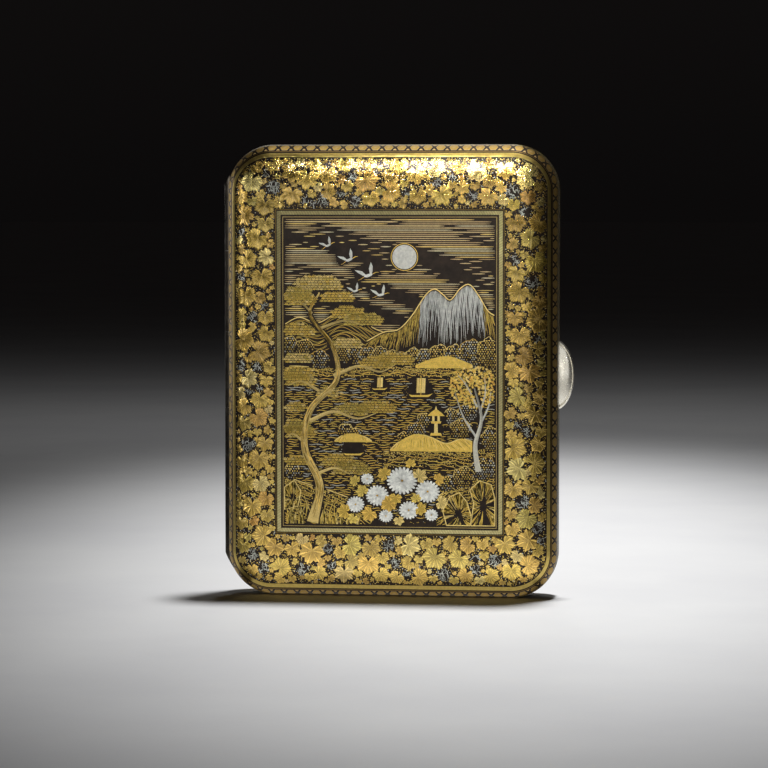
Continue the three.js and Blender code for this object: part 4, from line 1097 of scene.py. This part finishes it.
# ---- materials ---------------------------------------------------------------------------------------------------
def material(name, a, b, metallic=0.0, rough=(0.3, 0.45), scale=700.0, fine=5200.0, bump=0.0, tone=False, specular=None, coat=None, stretch=None, spots=None, weave=None, mix=(0.35, 0.65)):
    """Two colours mixed by noise (times the tone attribute where asked), roughness and relief from a finer noise."""
    m = bpy.data.materials.new(name)
    m.use_nodes = True
    t = m.node_tree
    t.nodes.clear()
    N, K = t.nodes.new, t.links.new
    out, p = N("ShaderNodeOutputMaterial"), N("ShaderNodeBsdfPrincipled")
    K(p.outputs[0], out.inputs[0])
    src = N("ShaderNodeTexCoord").outputs["Object"]
    if stretch:
        mp = N("ShaderNodeMapping")
        mp.inputs["Scale"].default_value = stretch
        K(src, mp.inputs[0])
        src = mp.outputs[0]
    n1, n2 = N("ShaderNodeTexNoise"), N("ShaderNodeTexNoise")
    for n, sc, d in ((n1, scale, 4.0), (n2, fine, 2.0)):
        n.inputs["Scale"].default_value = sc
        n.inputs["Detail"].default_value = d
        n.inputs["Roughness"].default_value = 0.6
        K(src, n.inputs["Vector"])
    f = N("ShaderNodeMapRange")
    f.inputs["From Min"].default_value, f.inputs["From Max"].default_value = mix
    K(n1.outputs["Fac"], f.inputs["Value"])
    c = N("ShaderNodeMix")
    c.data_type = "RGBA"
    K(f.outputs[0], c.inputs["Factor"])
    c.inputs["A"].default_value, c.inputs["B"].default_value = (*a, 1), (*b, 1)
    colour = c.outputs["Result"]
    if tone:
        at = N("ShaderNodeAttribute")
        at.attribute_name = "tone"
        x = N("ShaderNodeMix")
        x.data_type, x.blend_type = "RGBA", "MULTIPLY"
        x.inputs["Factor"].default_value = 1.0
        K(at.outputs["Color"], x.inputs["A"])
        K(colour, x.inputs["B"])
        colour = x.outputs["Result"]
    if spots:  # small worn or tarnished places
        sp_scale, sp_lo, sp_hi, sp_col = spots
        n3 = N("ShaderNodeTexNoise")
        n3.inputs["Scale"].default_value, n3.inputs["Detail"].default_value = sp_scale, 6.0
        K(src, n3.inputs["Vector"])
        g = N("ShaderNodeMapRange")
        g.inputs["From Min"].default_value, g.inputs["From Max"].default_value = sp_lo, sp_hi
        K(n3.outputs["Fac"], g.inputs["Value"])
        x = N("ShaderNodeMix")
        x.data_type = "RGBA"
        K(g.outputs[0], x.inputs["Factor"])
        K(colour, x.inputs["A"])
        x.inputs["B"].default_value = (*sp_col, 1)
        colour = x.outputs["Result"]
    K(colour, p.inputs["Base Color"])
    r = N("ShaderNodeMapRange")
    r.inputs["From Min"].default_value, r.inputs["From Max"].default_value = 0.3, 0.7
    r.inputs["To Min"].default_value, r.inputs["To Max"].default_value = rough
    K(n2.outputs["Fac"], r.inputs["Value"])
    K(r.outputs[0], p.inputs["Roughness"])
    p.inputs["Metallic"].default_value = metallic
    if specular is not None:
        p.inputs["Specular IOR Level"].default_value = specular
    if coat:
        p.inputs["Coat Weight"].default_value, p.inputs["Coat Roughness"].default_value = coat
    if bump:
        bp = N("ShaderNodeBump")
        bp.inputs["Strength"].default_value = 1.0
        bp.inputs["Distance"].default_value = bump * MM
        K(n2.outputs["Fac"], bp.inputs["Height"])
        K(bp.outputs[0], p.inputs["Normal"])
    return m


MATS = {
    "iron": material("blackened_iron", (0.016, 0.011, 0.008), (0.030, 0.020, 0.013), 0.55, (0.28, 0.44), 420.0, 3600.0, 0.004, specular=0.2, spots=(900.0, 0.60, 0.80, (0.045, 0.026, 0.014)), coat=(0.08, 0.20)),
    "gold": material("leaf_gold", (0.70, 0.685, 0.64), (0.96, 0.92, 0.83), 1.0, (0.21, 0.34), 900.0, 4200.0, 0.003, tone=True, coat=(0.8, 0.14)),
    "gold_bands": material("line_gold", (0.84, 0.82, 0.78), (1.05, 1.05, 1.0), 1.0, (0.28, 0.42), 1300.0, 5200.0, 0.006, tone=True),
    "gold_matte": material("hexagon_gold", (0.84, 0.82, 0.80), (1.05, 1.05, 1.02), 1.0, (0.44, 0.60), 1300.0, 5200.0, 0.006, tone=True),
    "gold_fine": material("picture_gold", (0.82, 0.80, 0.78), (1.06, 1.05, 1.0), 1.0, (0.24, 0.42), 1500.0, 5200.0, 0.008, tone=True),
    "silver_inlay": material("inlay_silver", (0.84, 0.86, 0.84), (1.05, 1.05, 1.03), 1.0, (0.26, 0.44), 1200.0, 5000.0, 0.006, tone=True),
    "silver_bright": material("picture_silver", (0.95, 0.96, 0.97), (1.3, 1.3, 1.3), 0.75, (0.32, 0.5), 1500.0, 5000.0, 0.010, tone=True),
    "rim": material("rim_silver", (0.56, 0.53, 0.47), (0.74, 0.72, 0.66), 1.0, (0.20, 0.36), 500.0, 3500.0, 0.004, spots=(700.0, 0.58, 0.78, (0.26, 0.22, 0.16))),
    "liner": material("gilt_lining", (0.78, 0.53, 0.20), (0.86, 0.63, 0.28), 1.0, (0.17, 0.30), 160.0, 2600.0, 0.003, stretch=(1.0, 1.0, 0.08)),
    "fittings": material("gilt_fittings", (0.74, 0.50, 0.19), (0.84, 0.61, 0.27), 1.0, (0.20, 0.34), 600.0, 3800.0, 0.004),
    "rivets": material("rivet_silver", (0.60, 0.58, 0.54), (0.74, 0.72, 0.68), 1.0, (0.22, 0.34), 900.0, 4200.0, 0.003),
    # painted shade: the hinge silver's base colour is darkened almost to black, so the knuckles read dark apart from a
    # thin lamp highlight
    "hinge": material("hinge_silver", (0.050, 0.043, 0.034), (0.12, 0.104, 0.082), 1.0, (0.13, 0.24), 500.0, 3200.0, 0.003, spots=(800.0, 0.5, 0.72, (0.05, 0.04, 0.03))),
    "thumb": material("thumb_silver", (0.84, 0.79, 0.66), (0.96, 0.92, 0.80), 0.88, (0.24, 0.36), 420.0, 3000.0, 0.003, spots=(600.0, 0.66, 0.86, (0.40, 0.38, 0.28))),
    "steel": material("spring_steel", (0.36, 0.37, 0.38), (0.52, 0.53, 0.54), 1.0, (0.24, 0.36), 700.0, 3800.0, 0.003, stretch=(1.0, 1.0, 0.15)),
    "strap": material("strap_weave", (0.36, 0.25, 0.10), (0.62, 0.47, 0.22), 0.0, (0.62, 0.86), 1500.0, 5200.0, 0.03, specular=0.35),
    "floor": material("pale_floor", (0.74, 0.74, 0.75), (0.80, 0.80, 0.80), 0.0, (0.55, 0.70), 9.0, 700.0, 0.02, specular=0.3),
}

# ---- the shells, finer than the frame's --------------------------------------------------------------------------
IRON_T = 0.8
GROOVE_R, GROOVE_Z = 1.65, (5.1, 114.8)
HINGE_X = -XR - 0.2
LUG_Z, LUG_Y, LUG_H, LUG_OUT, LUG_D, LUG_IN, LUG_CLEAR = -1.0, 3.2, 9.1, 3.9, 2.4, 2.2, 0.25


def prism(profile, lo, hi, axis):
    """A closed prism of a convex profile along axis 0 (x) or 2 (z), as a scratch cutter."""
    n = len(profile)
    V = []
    for e in (lo, hi):
        for a, b in profile:
            V.append((e, a, b) if axis == 0 else (a, b, e))
    me = bpy.data.meshes.new("cutter")
    faces = [list(range(n))[::-1], list(range(n, 2 * n))] + [[i, (i + 1) % n, (i + 1) % n + n, i + n] for i in range(n)]
    me.from_pydata([tuple((np.array(v) + [BX, 0, ZR]) * MM) for v in V], [], faces)
    bm = bmesh.new()
    bm.from_mesh(me)
    bmesh.ops.recalc_face_normals(bm, faces=bm.faces)
    bm.to_mesh(me)
    bm.free()
    o = bpy.data.objects.new("cutter", me)
    bpy.context.scene.collection.objects.link(o)
    return o


def shell(name):
    side = SIDES[name]
    L = outline_samples(0.55)
    th = np.linspace(0, math.pi / 2, 25)
    w = np.concatenate([[SHELL_EDGE - SIDE_FLAT, (SHELL_EDGE - SIDE_FLAT) * 0.5], 1 - np.cos(th)])
    w[-1] = 0.9999
    n, m = len(L), len(w)
    outer = ring_point(L[:, None], w[None], np.zeros((n, m)), side)
    inner = ring_point(L[:, None], w[None], np.full((n, m), -IRON_T), side)
    V = np.concatenate([outer.reshape(-1, 3), inner.reshape(-1, 3), [[0, side * HALF, 0], [0, side * (HALF - IRON_T), 0]]])
    I, J = np.arange(n), (np.arange(n) + 1) % n
    F = []
    off = n * m
    for k in range(m - 1):
        a, b, c, d = I * m + k, J * m + k, J * m + k + 1, I * m + k + 1
        F += [np.column_stack([a, b, c]), np.column_stack([a, c, d]), np.column_stack([a, c, b]) + off, np.column_stack([a, d, c]) + off]
    a, b = I * m + m - 1, J * m + m - 1
    F += [np.column_stack([a, b, np.full(n, 2 * off)]), np.column_stack([a + off, np.full(n, 2 * off + 1), b + off])]
    a, b = I * m, J * m
    F += [np.column_stack([a, a + off, b + off]), np.column_stack([a, b + off, b])]
    F = np.concatenate(F)
    q = V[F]
    if np.einsum("ij,ij->", q[:, 0], np.cross(q[:, 1], q[:, 2])) < 0:
        F = F[:, ::-1]
    o = make(name + "_iron_shell", V, F, None, mats=[MATS["iron"]])
    ang = np.arange(72) * 2 * math.pi / 72
    cutters = [prism([(HINGE_X + GROOVE_R * math.cos(t), GROOVE_R * math.sin(t)) for t in ang], GROOVE_Z[0] - ZR, GROOVE_Z[1] - ZR, 2)]
    if name == "back":
        cutters.append(prism([(LUG_Y + (LUG_D + LUG_CLEAR) * math.cos(t), LUG_Z + (LUG_H + LUG_CLEAR) * math.sin(t)) for t in ang], XR - 6, XR + 2, 0))
    for c in cutters:
        md = o.modifiers.new("cut", "BOOLEAN")
        md.operation, md.solver, md.object = "DIFFERENCE", "EXACT", c
    bpy.context.view_layer.update()
    cut = bpy.data.meshes.new_from_object(o.evaluated_get(bpy.context.evaluated_depsgraph_get()))
    o.modifiers.clear()
    old = o.data
    o.data = cut
    bpy.data.meshes.remove(old)
    for c in cutters:
        me = c.data
        bpy.data.objects.remove(c)
        bpy.data.meshes.remove(me)
    o.data.name = name + "_iron_shell"
    o.data.materials.clear()
    o.data.materials.append(MATS["iron"])
    o.data.polygons.foreach_set("use_smooth", np.ones(len(o.data.polygons), bool))
    o.data.set_sharp_from_angle(angle=math.radians(32))
    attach(o, BODY[name])
    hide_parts(name + "_shell")
    return o


# ---- thumb piece ---------------------------------------------------------------------------------------------------
def thumb_piece():
    """A convex silver lug: a lens in the side plane with a fine rim bead, and a straight shank into the case."""
    a0, drop = 5.2, 1.3
    k = math.sqrt(1 - (drop / a0) ** 2)
    zs = lambda x: LUG_H * np.sqrt(np.maximum(1 - ((x + drop) / a0) ** 2, 0)) / k
    t = np.linspace(-1, 1, 61)
    # outline in x, z: outer arc, then the shank inside the wall
    phi = np.arcsin(np.clip(t, -1, 1) * 0.999)
    xo = -drop + a0 * np.cos(np.linspace(-1, 1, 61) * math.acos(drop / a0))
    xo = np.clip(xo, 0, LUG_OUT)
    zo = np.sign(np.linspace(-1, 1, 61)) * zs(xo)
    shank = [(-0.7, LUG_H * 0.999), (-1.5, LUG_H * 0.995), (-LUG_IN * 0.96, LUG_H * 0.97), (-LUG_IN * 0.99, LUG_H * 0.5), (-LUG_IN * 0.99, 0), (-LUG_IN * 0.99, -LUG_H * 0.5), (-LUG_IN * 0.96, -LUG_H * 0.97), (-1.5, -LUG_H * 0.995), (-0.7, -LUG_H * 0.999)]
    P = np.vstack([np.column_stack([xo, zo]), shank])
    P = smooth_line(np.vstack([P, P[:1]]), 2)[:-1]
    P[:, 0] = np.clip(P[:, 0], -LUG_IN, LUG_OUT)
    P[:, 1] = np.clip(P[:, 1], -LUG_H, LUG_H)
    centre = np.array([0.2, 0.0])
    rho = np.array([0.0, 0.12, 0.24, 0.36, 0.48, 0.60, 0.70, 0.78, 0.84, 0.872, 0.886, 0.900, 0.916, 0.94, 0.965, 0.985, 1.0])
    body = 0.62 + (LUG_D - 0.62) * np.clip(1 - rho ** 2.3, 0, 1) ** 0.62
    y = np.where(rho < 0.88, body, np.interp(rho, [0.88, 0.886, 0.900, 0.916, 0.94, 0.965, 0.985, 1.0], [0.95, 0.86, 0.86, 1.02, 1.04, 0.90, 0.62, 0.0]))
    n, m = len(P), len(rho)
    V, F = [], []
    for s in (-1, 1):
        for j in range(1, m - (1 if s > 0 else 0)):
            q = centre + (P - centre) * rho[j]
            V.append(np.column_stack([q[:, 0], np.full(n, s * y[j]), q[:, 1]]))
    V = np.concatenate(V)
    c0, c1 = len(V), len(V) + 1
    V = np.vstack([V, [[centre[0], -y[0], centre[1]], [centre[0], y[0], centre[1]]]])
    I, J = np.arange(n), (np.arange(n) + 1) % n
    front = lambda j: (j - 1) * n
    back = lambda j: (m - 1) * n + (j - 1) * n if j < m - 1 else (m - 2) * n
    F = [np.column_stack([front(1) + I, front(1) + J, np.full(n, c0)]), np.column_stack([back(1) + I, np.full(n, c1), back(1) + J])]
    for j in range(1, m - 1):
        a, b, c, d = front(j) + I, front(j + 1) + I, front(j + 1) + J, front(j) + J
        F += [np.column_stack([a, b, c]), np.column_stack([a, c, d])]
        a, b, c, d = back(j) + I, back(j + 1) + I, back(j + 1) + J, back(j) + J
        F += [np.column_stack([a, c, b]), np.column_stack([a, d, c])]
    F = np.concatenate(F)
    q = (V - V.mean(0))[F]
    if np.einsum("ij,ij->", q[:, 0], np.cross(q[:, 1], q[:, 2])) < 0:
        F = F[:, ::-1]
    V = V + np.array([XR, LUG_Y, LUG_Z])
    o = make("thumb_lug", V, F, "push_catch", smooth=50, mats=[MATS["thumb"]])
    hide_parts("thumb_piece")
    return o


# ---- elastic straps --------------------------------------------------------------------------------------------------
def strap(name):
    lo, hi = (np.array(v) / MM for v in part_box(name + "_strap"))
    xs = np.linspace(lo[0], hi[0], 55)
    zs = np.arange(lo[2], hi[2] + 0.01, 0.35)
    zs[-1] = hi[2]
    mid, half = (lo[1] + hi[1]) / 2, (hi[1] - lo[1]) / 2
    X, Z = np.meshgrid(xs, zs, indexing="ij")
    rib = np.abs(np.sin((X - lo[0]) / (hi[0] - lo[0]) * math.pi * 9)) ** 0.6
    weft = np.sin(Z * 2 * math.pi / 1.05 + np.floor((X - lo[0]) / (hi[0] - lo[0]) * 9 + 1e-6) * math.pi)
    edge = np.clip(np.minimum(X - lo[0], hi[0] - X) / 0.35, 0, 1) ** 0.5
    T = (half * (0.58 + 0.26 * rib) + half * 0.14 * weft * rib) * (0.35 + 0.65 * edge)
    a = np.stack([X, mid + T, Z], -1)
    b = np.stack([X, mid - T, Z], -1)
    n, m = X.shape
    V = np.concatenate([a.reshape(-1, 3), b.reshape(-1, 3)])
    off = n * m
    i, j = np.meshgrid(np.arange(n - 1), np.arange(m - 1), indexing="ij")
    i, j = i.ravel(), j.ravel()
    A, B_, C, D = i * m + j, (i + 1) * m + j, (i + 1) * m + j + 1, i * m + j + 1
    F = [np.column_stack([A, D, C]), np.column_stack([A, C, B_]), np.column_stack([A, C, D]) + off, np.column_stack([A, B_, C]) + off]
    ring_ = np.concatenate([np.arange(m), np.arange(1, n) * m + m - 1, (n - 1) * m + np.arange(m - 2, -1, -1), np.arange(n - 2, 0, -1) * m])
    p, q = ring_, np.roll(ring_, -1)
    F += [np.column_stack([p, p + off, q + off]), np.column_stack([p, q + off, q])]
    F = np.concatenate(F)
    o = make(name + "_elastic_strap", V - np.array([BX, 0, ZR]), F, None, smooth=60, mats=[MATS["strap"]])
    bm = bmesh.new()
    bm.from_mesh(o.data)
    bmesh.ops.recalc_face_normals(bm, faces=bm.faces)
    bm.to_mesh(o.data)
    bm.free()
    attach(o, BODY[name])
    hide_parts(name + "_strap")
    return o


# ---- leaf spring of the catch, a bowed strip fixed to the case back; the real one flattens against its housing as the thumb piece goes in ---
def catch_spring():
    lo, hi = (np.array(v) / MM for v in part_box("latch_spring"))
    n, t = 49, 0.11
    u = np.linspace(-1, 1, n)
    line = np.column_stack([lo[0] + t + (hi[0] - lo[0] - 2 * t) * np.maximum(np.cos(u * math.pi / 2), 0) ** 1.5, (lo[2] + hi[2]) / 2 + u * ((hi[2] - lo[2]) / 2 - 0.02)])
    d = np.gradient(line, axis=0)
    d /= np.hypot(d[:, 0], d[:, 1])[:, None]
    side = np.column_stack([d[:, 1], -d[:, 0]]) * t
    V = np.stack([np.column_stack([p[:, 0], np.full(n, y), p[:, 1]]) for p, y in ((line + side, lo[1]), (line + side, hi[1]), (line - side, hi[1]), (line - side, lo[1]))], 1).reshape(-1, 3)
    i, k = (v.ravel() for v in np.meshgrid(np.arange(n - 1), np.arange(4), indexing="ij"))
    F = np.column_stack([4 * i + k, 4 * i + (k + 1) % 4, 4 * i + 4 + (k + 1) % 4, 4 * i + 4 + k])
    F = np.concatenate([F, [[3, 2, 1, 0], [4 * n - 4, 4 * n - 3, 4 * n - 2, 4 * n - 1]]])
    o = make("catch_leaf_spring", V - np.array([BX, 0, ZR]), F, "case_back", smooth=40, mats=[MATS["steel"]])
    bm = bmesh.new()
    bm.from_mesh(o.data)
    bmesh.ops.recalc_face_normals(bm, faces=bm.faces)
    bm.to_mesh(o.data)
    bm.free()
    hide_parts("latch_spring")
    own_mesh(o)
    return o


# ---- everything together --------------------------------------------------------------------------------------------
for name in SIDES:
    shell(name)
    border(name, 11 if name == "lid" else 29)
    edge_bands(name)
    panel_frame(name)
    strap(name)
lake_panel("lid")
wave_diaper("back")
lug = thumb_piece()
catch_spring()

FINISH = {
    "rim": "rim", "liner": "liner", "strap_clip": "fittings", "clip_rivet": "rivets", "hinge_knuckle": "hinge", "hinge_pin": "steel",
    "latch_housing": "fittings", "housing_rivet": "rivets", "keeper_rivet": "rivets", "latch_spring": "steel", "latch_keeper": "fittings", "latch_bar": "steel",
}
for node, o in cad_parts.items():
    mat = next((MATS[v] for k, v in FINISH.items() if k in node), MATS["iron"])
    if not o.material_slots:
        o.data.materials.append(mat)
    for s in o.material_slots:
        s.material = mat

# ---- floor, lights, camera ------------------------------------------------------------------------------------------
me = bpy.data.meshes.new("floor")
me.from_pydata([(-8, -3, 0), (8, -3, 0), (8, 14, 0), (-8, 14, 0)], [], [(0, 1, 2, 3)])
floor = bpy.data.objects.new("floor", me)
bpy.context.scene.collection.objects.link(floor)
me.materials.append(MATS["floor"])

world = bpy.data.worlds.new("studio")
bpy.context.scene.world = world
world.use_nodes = True
bg = world.node_tree.nodes["Background"]
sky = bpy.context.scene.world.node_tree.nodes
wire = bpy.context.scene.world.node_tree.links.new
where, split, rise, tint = sky.new("ShaderNodeTexCoord"), sky.new("ShaderNodeSeparateXYZ"), sky.new("ShaderNodeMapRange"), sky.new("ShaderNodeMix")
tint.data_type = "RGBA"
wire(where.outputs["Generated"], split.inputs[0])
wire(split.outputs["Z"], rise.inputs["Value"])
rise.inputs["From Min"].default_value, rise.inputs["From Max"].default_value = 0.0, 0.07
wire(rise.outputs["Result"], tint.inputs[0])
tint.inputs[6].default_value, tint.inputs[7].default_value = (0.0034, 0.0030, 0.0030, 1), (0.0047, 0.0041, 0.0040, 1)
wire(tint.outputs[2], bg.inputs["Color"])
bg.inputs["Strength"].default_value = 1.0


off = bpy.data.collections.new("not_the_floor")
off.objects.link(floor)
off.collection_objects[0].light_linking.link_state = "EXCLUDE"
only = bpy.data.collections.new("only_the_floor")
only.objects.link(floor)


def area(name, at, to, size, power, colour=(1, 1, 1), spread=None, off_floor=True):
    d = bpy.data.lights.new(name, "AREA")
    d.shape, d.size, d.size_y = "RECTANGLE", size[0], size[1]
    d.energy, d.color = power, colour
    if spread:
        d.spread = math.radians(spread)
    o = bpy.data.objects.new(name, d)
    o.location = at
    o.rotation_euler = (Vector(to) - Vector(at)).to_track_quat("-Z", "Y").to_euler()
    o.visible_camera = False
    bpy.context.scene.collection.objects.link(o)
    if off_floor:
        o.light_linking.receiver_collection = off
    return o


pool = bpy.data.lights.new("pool", "SPOT")
pool.energy, pool.spot_size, pool.spot_blend, pool.shadow_soft_size = 71.0, math.radians(46.0), 1.0, 0.08
lamp = bpy.data.objects.new("pool", pool)
lamp.location = (0.10, 0.16, 1.20)
shine = (Vector((0.024, 0.095, 0.0)) - lamp.location).normalized()
along = Vector((-0.091, 1.0, 0.0))
along = (along - along.dot(shine) * shine).normalized()
lamp.rotation_euler = Matrix((along.cross(-shine), along, -shine)).transposed().to_euler()  # an oval pool, longest front to back
lamp.scale = (0.38, 1.0, 1.0)
lamp.light_linking.receiver_collection = only
bpy.context.scene.collection.objects.link(lamp)
area("back_fill", (-0.03, 0.58, 0.50), (-0.03, 0.53, 0.0), (0.10, 0.10), 0.40, off_floor=False)
area("top_soft", (0.058, 0.16, 1.20), (0.0, 0.0, 0.08), (0.13, 0.13), 4.2)
area("front_top", (-0.05, -0.42, 0.48), (0.012, 0.0, 0.114), (0.065, 0.06), 0.0036, spread=18)
area("front_key", (-0.05, -0.42, 0.48), (0.016, 0.0, 0.116), (0.05, 0.05), 0.0128, spread=7)
area("front_wide", (-0.20, -1.25, 0.14), (0.0, 0.0, 0.06), (1.0, 0.30), 1.75)
area("bounce", (-0.01, -0.064, 0.001), (-0.01, -0.064, 0.5), (0.12, 0.06), 0.0062)
area("under_glow", (-0.001, -0.0085, 0.0004), (-0.001, -0.0085, 0.5), (0.080, 0.008), 0.0009)
area("bounce_near", (-0.002, -0.0235, 0.0008), (-0.002, -0.0235, 0.5), (0.092, 0.021), 0.0062)
area("left_strip", (-0.62, -0.42, 0.12), (0.0, 0.0, 0.06), (0.10, 0.42), 0.8)
area("hinge_edge", (-0.50, 0.26, 0.10), (-0.046, 0.0, 0.06), (0.03, 0.30), 0.014, spread=30)
area("right_fill", (0.62, -0.62, 0.30), (0.0, 0.0, 0.06), (0.16, 0.30), 0.10)
area("rear_fill", (-0.16, 0.62, 0.36), (0.0, 0.0, 0.06), (0.22, 0.22), 0.24)
lug_only = bpy.data.collections.new("only_the_thumb_lug")
lug_only.objects.link(lug)
area("lug_fill", (0.20, -0.34, 0.13), (0.0475, -0.003, 0.062), (0.28, 0.40), 0.28).light_linking.receiver_collection = lug_only

cam = bpy.data.cameras.new("camera")
cam.lens, cam.sensor_width = 150.0, 36.0
cam.clip_start, cam.clip_end = 0.01, 60.0
camera = bpy.data.objects.new("camera", cam)
AZ, EL, DIST = math.radians(7.3), math.radians(3.3), 0.853
aim = Vector((-0.003734 * math.cos(AZ), -0.003734 * math.sin(AZ), 0.0564))
back = Vector((math.sin(AZ) * math.cos(EL), -math.cos(AZ) * math.cos(EL), math.sin(EL)))
camera.location = aim + back * DIST
camera.rotation_mode = "QUATERNION"
camera.rotation_quaternion = (-back).to_track_quat("-Z", "Y")
bpy.context.scene.collection.objects.link(camera)
bpy.context.scene.camera = camera
bpy.context.scene.view_settings.view_transform = "Standard"
